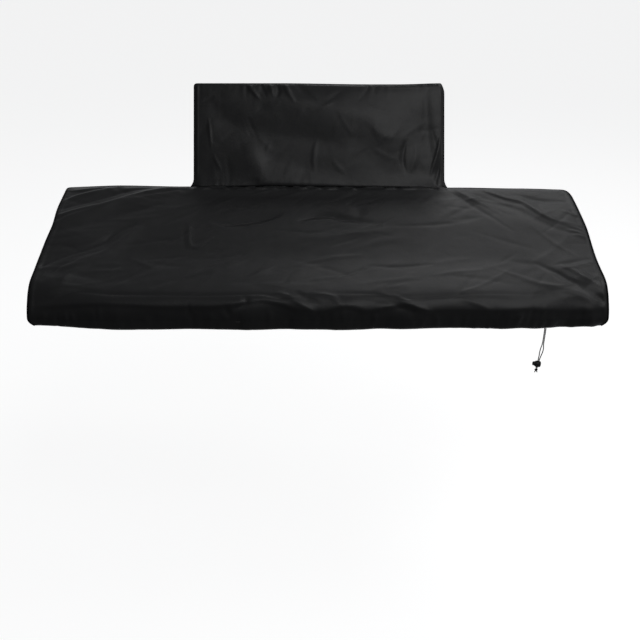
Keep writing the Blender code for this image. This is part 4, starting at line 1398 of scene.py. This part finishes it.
class COVER_OT_drawstring(bpy.types.Operator):
    """Braid the two strands of the drawstring that leave the hem"""

    bl_idname = "piano_cover.drawstring"
    bl_label = "Drawstring"
    bl_options = {"REGISTER", "UNDO"}

    def execute(self, context):
        diameter = context.scene.cover_string.diameter
        columns = list(zip(*STRAND_ROUTE))
        last = len(STRAND_ROUTE) - 1
        for side, name in ((-1, "left"), (1, "right")):
            points = []
            for k in range(STRAND_STEPS + 1):
                z, x, half = (smooth_through(c, last * k / STRAND_STEPS) for c in columns)
                points.append(Vector((x + side * half, STRAND_Y, z)))
            mesh = self.braid(f"strand_{name}", points, diameter / 2)
            node = f"drawstring_{name}"
            strand = finished_piece(f"strand_{name}", mesh, "cord", "drawstring_cord", node)
        return {"FINISHED"}

    def braid(self, name, points, radius):
        """A tube whose surface crosses over itself like a braid."""
        verts, flat = [], []
        distance, sides = 0.0, STRAND_SIDES
        for k, point in enumerate(points):
            tangent = run_at(points, k).normalized()
            forward = Vector((0, 1, 0))
            across = tangent.cross(forward).normalized()
            if k:
                distance += (point - points[k - 1]).length
            for side in range(sides):
                angle = 2 * math.pi * side / sides
                turn = 2 * math.pi * distance / BRAID_PITCH
                relief = max(math.cos(4 * angle + turn), math.cos(4 * angle - turn))
                reach = radius - BRAID_DEPTH * (1 - relief)
                offset = forward * math.cos(angle) + across * math.sin(angle)
                verts.append(point - ORIGIN + offset * reach)
                flat.append((distance, radius * angle))
        return tube_mesh(name, verts, flat, sides)


class COVER_OT_cord_lock(bpy.types.Operator):
    """Turn the cord lock's barrel and button, with a slot for the strands"""

    bl_idname = "piano_cover.cord_lock"
    bl_label = "Cord lock"
    bl_options = {"REGISTER", "UNDO"}

    def execute(self, context):
        turned = bmesh.new()
        ring = [turned.verts.new((radius, 0, along)) for radius, along in LOCK_PROFILE]
        edges = [turned.edges.new(pair) for pair in zip(ring, ring[1:])]
        bmesh.ops.spin(
            turned, geom=ring + edges, cent=(0, 0, 0), axis=(0, 0, 1),
            angle=2 * math.pi, steps=LOCK_STEPS,
        )
        bmesh.ops.remove_doubles(turned, verts=turned.verts, dist=0.000001)
        bmesh.ops.recalc_face_normals(turned, faces=turned.faces)
        mesh = bpy.data.meshes.new("cord_lock_turned")
        turned.to_mesh(mesh)
        turned.free()
        body = bpy.data.objects.new("cord_lock_turned", mesh)
        cutter = bpy.data.objects.new("slot_cutter", self.slot())
        for thing in (body, cutter):
            context.scene.collection.objects.link(thing)
        body.rotation_euler = (0, LOCK_TILT - math.pi / 2, 0)
        cutter.rotation_euler = (0, LOCK_TILT, 0)
        cut = body.modifiers.new("slot", "BOOLEAN")
        cut.operation, cut.object = "DIFFERENCE", cutter
        context.view_layer.update()
        graph = context.evaluated_depsgraph_get()
        solid = bpy.data.meshes.new_from_object(body.evaluated_get(graph))
        solid.transform(body.matrix_world)
        solid.name = "cord_lock_body"
        for vertex in solid.vertices:
            vertex.co += LOCK_CENTRE - ORIGIN
        bpy.data.objects.remove(body)
        bpy.data.objects.remove(cutter)
        solid.shade_smooth()
        solid.set_sharp_from_angle(angle=LOCK_SHARP_ANGLE)
        finished_piece("cord_lock_body", solid, "plastic", "lock_plastic", "cord_lock")
        return {"FINISHED"}

    def slot(self):
        """The long round-ended hole for the two strands, as a solid."""
        radius, arc = LOCK_SLOT_WIDTH / 2, LOCK_SLOT_ARC
        outline = []
        for end in (1, -1):
            for k in range(arc + 1):
                angle = math.pi * k / arc - math.pi / 2
                x = end * (LOCK_SLOT_HALF - radius + radius * math.cos(angle))
                outline.append((x, end * radius * math.sin(angle)))
        count = len(outline)
        verts = [(x, y, z) for z in (-LOCK_CUT_REACH, LOCK_CUT_REACH) for x, y in outline]
        faces = [tuple(range(count))[::-1], tuple(range(count, 2 * count))]
        for k in range(count):
            j = (k + 1) % count
            faces.append((k, j, j + count, k + count))
        mesh = bpy.data.meshes.new("slot_cutter")
        mesh.from_pydata(verts, [], faces)
        return mesh


class COVER_OT_knot(bpy.types.Operator):
    """Tie the overhand knot below the cord lock, with its two short ends"""

    bl_idname = "piano_cover.knot"
    bl_label = "Knot"
    bl_options = {"REGISTER", "UNDO"}

    def execute(self, context):
        radius = context.scene.cover_string.diameter / 2
        loop = []
        for k in range(KNOT_STEPS + 1):
            turn = 2 * math.pi * k / KNOT_STEPS
            x = math.sin(turn) + 2 * math.sin(2 * turn)
            z = math.cos(turn) - 2 * math.cos(2 * turn)
            y = -KNOT_DEPTH * math.sin(3 * turn)
            loop.append(KNOT_CENTRE + Vector((x, y, z)) * KNOT_SCALE)
        outline = rounded_profile(radius * KNOT_GIRTH, radius * KNOT_GIRTH, 12, 2.0)
        parts = [swept_mesh("knot", loop, [Vector((0.2, 1, 0.1))] * len(loop), outline)]
        for side in (-1, 1):
            start = KNOT_CENTRE + Vector((side * 0.0012, 0, -0.0015))
            run = Vector((side * 0.35, 0, -1)).normalized()
            tail = [start + run * (KNOT_TAIL * j / KNOT_TAIL_STEPS) for j in range(KNOT_TAIL_STEPS + 1)]
            parts.append(swept_mesh("tail", tail, [Vector((0, 1, 0))] * len(tail), outline))
        joined = bmesh.new()
        for part in parts:
            joined.from_mesh(part)
        mesh = bpy.data.meshes.new("knot")
        joined.to_mesh(mesh)
        joined.free()
        mesh.shade_smooth()
        finished_piece("knot", mesh, "cord", "drawstring_cord", "drawstring_knot")
        return {"FINISHED"}


class COVER_OT_main_panel(bpy.types.Operator):
    """Sew the top and the front drop, in one piece, with its folds and its hem"""

    bl_idname = "piano_cover.main_panel"
    bl_label = "Main panel"
    bl_options = {"REGISTER", "UNDO"}

    def execute(self, context):
        settings = context.scene.cover_cloth
        steps = section_rows(settings.step)
        columns = round(LENGTH / settings.step)
        total = cloth_distance(steps[-1])

        def place(column, row):
            share = 2 * column / columns - 1
            u = share + END_CROWDING * math.sin(math.pi * share)
            along = u * LENGTH / 2
            if row < len(HEM_TURN):
                q = HEM_TURN[row]
                return turned_hem(panel_point(u, q), Vector((0, 1, 0)), q), along, -q * HEM_DEPTH
            t = steps[row - len(HEM_TURN)]
            return panel_point(u, t), along, cloth_distance(t)

        def relief(x, y, along, down):
            to_side, to_seam = LENGTH / 2 - numpy.abs(along), total - down
            height = TOP.height(x, y) * soft((down - 0.080) / 0.030)
            height += FRONT.height(x, down)
            height += FAINT_TOP.height(x, y) * soft((down - 0.060) / 0.030)
            height += FAINT_DROP.height(x, down)
            height += settings.crumple * crumple(x, down, 1.0)
            height += settings.pucker * pucker(down + 3.0 * (x > 0), to_side, 0.014, 20.0)
            at_pocket = soft((POCKET_BASE_HALF - numpy.abs(x - POCKET_MIDDLE_X)) / 0.010)
            height += FOOT_PUCKER * settings.pucker * at_pocket * pucker(x, to_seam, 0.010, 31.0)
            gathers = foot_gathers(x, to_seam, 35.0)
            height += FOOT_GATHER * settings.pucker * at_pocket * gathers
            height *= soft(to_side / 0.010) * soft(to_seam / 0.004)
            height += ridge(to_side, *SEAM_ROLL) * soft((down - 0.020) / 0.020)
            height += hem_relief(x, down, 41.0) * soft(to_side / 0.020)
            return numpy.where(down < 0, 0.0, height)

        rows = len(steps) - 1 + len(HEM_TURN)
        name = "main_panel_cloth"
        sheet = cloth_sheet(name, columns, rows, place, relief, ["main_panel"])
        flat = (LENGTH, total + HEM_DEPTH)
        hem = self.row_at(steps, HEM_DEPTH)
        LINES["hem"] = sheet_line(name, [hem] * (columns + 1), 4, columns - 4)
        foot = self.row_at(steps, total - 0.0045)
        first = round(columns * (0.5 - POCKET_BASE_HALF / LENGTH)) + 2
        LINES["pocket foot"] = sheet_line(name, [foot] * (columns + 1), first, columns - first)
        return {"FINISHED"}

    def row_at(self, steps, distance):
        """The row of the sheet at this distance from the hem, as a fraction."""
        places = [cloth_distance(t) for t in steps]
        return len(HEM_TURN) + float(numpy.interp(distance, places, range(len(places))))


class COVER_OT_skirt(bpy.types.Operator):
    """Sew the strip round the left end, the back and the right end"""

    bl_idname = "piano_cover.skirt"
    bl_label = "Skirt"
    bl_options = {"REGISTER", "UNDO"}

    def execute(self, context):
        settings = context.scene.cover_cloth
        step = settings.step * SKIRT_STEP_SHARE
        path = self.path(step)
        distance = [0.0]
        for (here, _), (after, _) in zip(path, path[1:]):
            distance.append(distance[-1] + (after - here).to_2d().length)
        count = SKIRT_ROWS

        def outer(column, share):
            top, outward = path[column]
            hem_y = max(top.y, SKIRT_FRONT_HEM_Y)
            hem_z = mix(SKIRT_FRONT_HEM_Z, SKIRT_BACK_HEM_Z, ease(top.y / 0.10))
            wave = wave_depth(SKIRT_WAVES, distance[column]) * ease(top.y / 0.05)
            reach = SKIRT_BULGE * math.sin(math.pi * share) * ease((top.z - 0.02) / 0.08)
            reach += share**2 * (wave - SKIRT_TUCK)
            point = Vector((top.x, mix(top.y, hem_y, share), mix(top.z, hem_z, share)))
            return point + outward * reach

        def place(column, row):
            top, outward = path[column]
            height = max(top.z - SKIRT_BACK_HEM_Z, LEAST_HEIGHT)
            if row > count:
                q = HEM_TURN[::-1][row - count - 1]
                share = 1 - q * min(HEM_DEPTH / height, 0.9)
                point = turned_hem(outer(column, share), -outward, q)
                return point, distance[column], -q * HEM_DEPTH
            share = row / count
            return outer(column, share), distance[column], share * height

        tall = numpy.array([max(top.z - SKIRT_BACK_HEM_Z, LEAST_HEIGHT) for top, _ in path])
        to_end = numpy.minimum(distance, distance[-1] - numpy.array(distance))

        def relief(x, y, along, down):
            height = FAINT_SKIRT.height(along, down)
            height += SKIRT_CRUMPLE * settings.crumple * crumple(along, down, 57.0)
            height += settings.pucker * pucker(along, down, 0.014, 61.0)
            height *= soft(down / 0.004)
            height += ridge(down, *SEAM_ROLL) * soft((tall - 0.04) / 0.04)
            height += hem_relief(along, tall - down, 71.0) * soft(tall / 0.08)
            return numpy.where(down < 0, 0.0, height * soft(to_end / 0.03))

        rows = count + len(HEM_TURN)
        sheet = cloth_sheet("skirt_cloth", len(path) - 1, rows, place, relief, ["skirt"])
        area = 0.0
        for (top, _), here, after in zip(path[1:], distance, distance[1:]):
            area += (after - here) * (max(top.z, 0.0) + SKIRT_TURN)
        places = [count * max(1 - HEM_DEPTH / top, 0.0) for top in tall]
        ends = round(0.05 / step)
        LINES["skirt hem"] = sheet_line("skirt_cloth", places, ends, len(path) - 1 - ends)
        return {"FINISHED"}

    def path(self, step):
        """The skirt's columns as (top point, outward direction)."""
        rows = [t for t in section_rows(step) if t >= 1]
        ends = {}
        for side in (-1, 1):
            ends[side] = []
            for t in rows:
                seam = seam_point(side, t)
                y, _ = section_point(t, 0.0)
                run_y, run_z = section_run(t)
                length = math.hypot(run_y, run_z)
                inward = Vector((0, run_z / length, -run_y / length))
                turn = corner_turn(side, y)
                if turn > 0:
                    inward = Vector((0, 0, -1))
                ends[side].append((seam + inward * SEAM_INSET, corner_outward(side, turn)))
        left, right = ends[-1], ends[1]
        first, last = left[-1][0].x, right[-1][0].x
        columns = round((last - first) / step)
        back = []
        for k in range(1, columns):
            x = mix(first, last, k / columns)
            point = Vector((x, BACK_Y, back_height(x) - SEAM_INSET))
            back.append((point, Vector((0, 1, 0))))
        return left + back + right[::-1]


class COVER_OT_pocket(bpy.types.Operator):
    """Sew the front and the back of the pocket that stands behind the top"""

    bl_idname = "piano_cover.pocket"
    bl_label = "Pocket"
    bl_options = {"REGISTER", "UNDO"}

    def execute(self, context):
        settings = context.scene.cover_cloth
        top = POCKET_HEIGHT - SEAM_INSET
        for name, forward, step in (("front", 1, 0.65), ("back", -1, 1.3)):
            columns = round(2 * POCKET_HALF / (settings.step * step))
            rows = round(POCKET_HEIGHT / (settings.step * step))

            def place(column, row):
                share = forward * (2 * column / columns - 1)
                u = mix(share, math.sin(math.pi / 2 * share), 0.75)
                height = top * math.sin(math.pi / 2 * row / rows) ** 0.92
                return pocket_point(u, height, forward), u * POCKET_HALF, height

            def relief(x, y, along, up):
                to_side, to_top = POCKET_HALF - numpy.abs(along), top - up
                height = FAINT_POCKET.height(forward * x, up)
                if forward > 0:
                    height += POCKET.height(x, up)
                height += settings.crumple * crumple(x, up, 83.0 + forward)
                sides = pucker(up + 2.0 * (x > 0), to_side, 0.010, 87.0 + forward)
                edge = pucker(x, to_top, 0.020, 91.0 + forward)
                foot = pucker(x, up, 0.012, 95.0 + forward)
                height += settings.pucker * (POCKET_SIDE_PUCKER * sides + edge + foot)
                height *= soft(to_side / 0.010) * soft(up / 0.005) * soft(to_top / 0.008)
                height += POCKET_SIDE_ROLL * ridge(to_side, *SEAM_ROLL)
                return height + POCKET_TOP_ROLL * ridge(to_top, *SEAM_ROLL)

            node = f"pocket_{name}"
            sheet = cloth_sheet(f"pocket_{name}_cloth", columns, rows, place, relief, [node])
        return {"FINISHED"}


class COVER_OT_bindings(bpy.types.Operator):
    """Fold the binding tape over the side seams, the corners and the pocket"""

    bl_idname = "piano_cover.bindings"
    bl_label = "Bindings"
    bl_options = {"REGISTER", "UNDO"}

    def execute(self, context):
        settings = context.scene.cover_seams
        profile = rounded_profile(settings.tape_reach, settings.tape_thickness)
        seams = (
            ("tape_left", "binding_left", self.side_seam(-1)),
            ("tape_right", "binding_right", self.side_seam(1)),
            ("tape_pocket", "pocket_binding", self.pocket_seam()),
        )
        runs = []
        for name, node, seam in seams:
            points, outs = resampled(*seam, TAPE_STEP)
            mesh = swept_mesh(name, points, outs, profile, TAPE_UNEVEN)
            finished_piece(name, mesh, "tape", "seam_binding", node)
            runs.append(self.edge_line(points, outs, settings.tape_thickness))
        stitching("tape_stitching", runs)
        return {"FINISHED"}

    def edge_line(self, points, outs, lift):
        """The line of stitches on the tape's upper face."""
        line, ups = [], []
        for k, (point, out) in enumerate(zip(points, outs)):
            across = run_at(points, k).normalized().cross(out).normalized()
            if across.z < 0 or (abs(across.z) < 0.2 and across.y > 0):
                across = -across
            line.append(point + across * lift)
            ups.append(across)
        return line, ups

    def side_seam(self, side):
        """Up a side seam, round its corner and along the back to the pocket."""
        points, outs = [], []
        for t in section_rows(TAPE_STEP):
            y, _ = section_point(t, 0.0)
            run_y, run_z = section_run(t)
            up = Vector((0, -run_z, run_y)).normalized()
            out = corner_outward(side, corner_turn(side, y))
            points.append(seam_point(side, t))
            outs.append((out + up * TAPE_TILT).normalized())
        corner = points[-1]
        stop = POCKET_MIDDLE_X + side * (POCKET_BASE_HALF + TAPE_STOP)
        for k in range(1, TAPE_SEAM_STEPS + 1):
            x = mix(corner.x, stop, k / TAPE_SEAM_STEPS)
            points.append(Vector((x, BACK_Y, back_height(x))))
            outs.append(Vector(TAPE_BACK_OUT))
        return points, outs

    def pocket_seam(self):
        """Up the pocket's left side, along its top and down its right."""
        left, right = (self.pocket_side(side, turn) for side, turn in ((-1, 12), (1, 10)))
        start, stop = left[-1][0].x, right[-1][0].x
        top = [
            (pocket_plane(mix(start, stop, k / TAPE_TOP_STEPS), POCKET_HEIGHT), POCKET_UP)
            for k in range(1, TAPE_TOP_STEPS)
        ]
        route = left + top + right[::-1]
        return [point for point, _ in route], [out for _, out in route]

    def pocket_side(self, side, turn_steps):
        """Up one of the pocket's sides, turning upwards over its last steps."""
        line = []
        for k in range(TAPE_SEAM_STEPS + 1):
            height = POCKET_HEIGHT * math.sin(math.pi / 2 * k / TAPE_SEAM_STEPS)
            x = POCKET_MIDDLE_X + side * pocket_half(side, height, 0.0)
            turned = ease((k - TAPE_SEAM_STEPS + turn_steps) / turn_steps)
            out = Vector((side, 0, 0)).lerp(POCKET_UP, turned)
            line.append((pocket_plane(x, height), out))
        return line


class COVER_OT_seam_stitches(bpy.types.Operator):
    """Stitch the hem's channel and the seam at the pocket's foot"""

    bl_idname = "piano_cover.seam_stitches"
    bl_label = "Seam stitches"
    bl_options = {"REGISTER", "UNDO"}

    def execute(self, context):
        lift = context.scene.cover_cloth.thickness / 2
        runs = []
        for line, ups in LINES.values():
            runs.append(([point + up * lift for point, up in zip(line, ups)], ups))
        stitching("seam_stitching", runs, "cover_cloth")
        return {"FINISHED"}


class COVER_PT_sidebar(bpy.types.Panel):
    """Lists the cover's pieces and their sizes"""

    bl_label = "Piano Cover"
    bl_idname = "COVER_PT_sidebar"
    bl_space_type = "VIEW_3D"
    bl_region_type = "UI"
    bl_category = "Piano Cover"

    def draw(self, context):
        for group in (context.scene.cover_cloth, context.scene.cover_seams,
                      context.scene.cover_string, context.scene.cover_stage):
            box = self.layout.box()
            for name in group.bl_rna.properties.keys():
                if name not in ("rna_type", "name"):
                    box.prop(group, name)
        for step in STEPS:
            self.layout.operator(step.bl_idname)


STEPS = (
    COVER_OT_stage, COVER_OT_knot, COVER_OT_cord_lock, COVER_OT_drawstring,
    COVER_OT_main_panel, COVER_OT_skirt, COVER_OT_pocket, COVER_OT_bindings,
    COVER_OT_seam_stitches,
)
GROUPS = {
    "cover_cloth": ClothSettings, "cover_seams": SeamSettings,
    "cover_string": DrawstringSettings, "cover_stage": StageSettings,
}


def register():
    for name, group in GROUPS.items():
        bpy.utils.register_class(group)
        setattr(bpy.types.Scene, name, PointerProperty(type=group))
    for thing in (*STEPS, COVER_PT_sidebar):
        bpy.utils.register_class(thing)


def unregister():
    for thing in (COVER_PT_sidebar, *STEPS[::-1]):
        bpy.utils.unregister_class(thing)
    for name, group in GROUPS.items():
        delattr(bpy.types.Scene, name)
        bpy.utils.unregister_class(group)


def main():
    """Build every piece in order."""
    register()
    bpy.ops.piano_cover.stage()
    bpy.ops.piano_cover.knot()
    bpy.ops.piano_cover.cord_lock()
    bpy.ops.piano_cover.drawstring()
    bpy.ops.piano_cover.main_panel()
    bpy.ops.piano_cover.skirt()
    bpy.ops.piano_cover.pocket()
    bpy.ops.piano_cover.bindings()
    bpy.ops.piano_cover.seam_stitches()


if __name__ == "__main__":
    main()
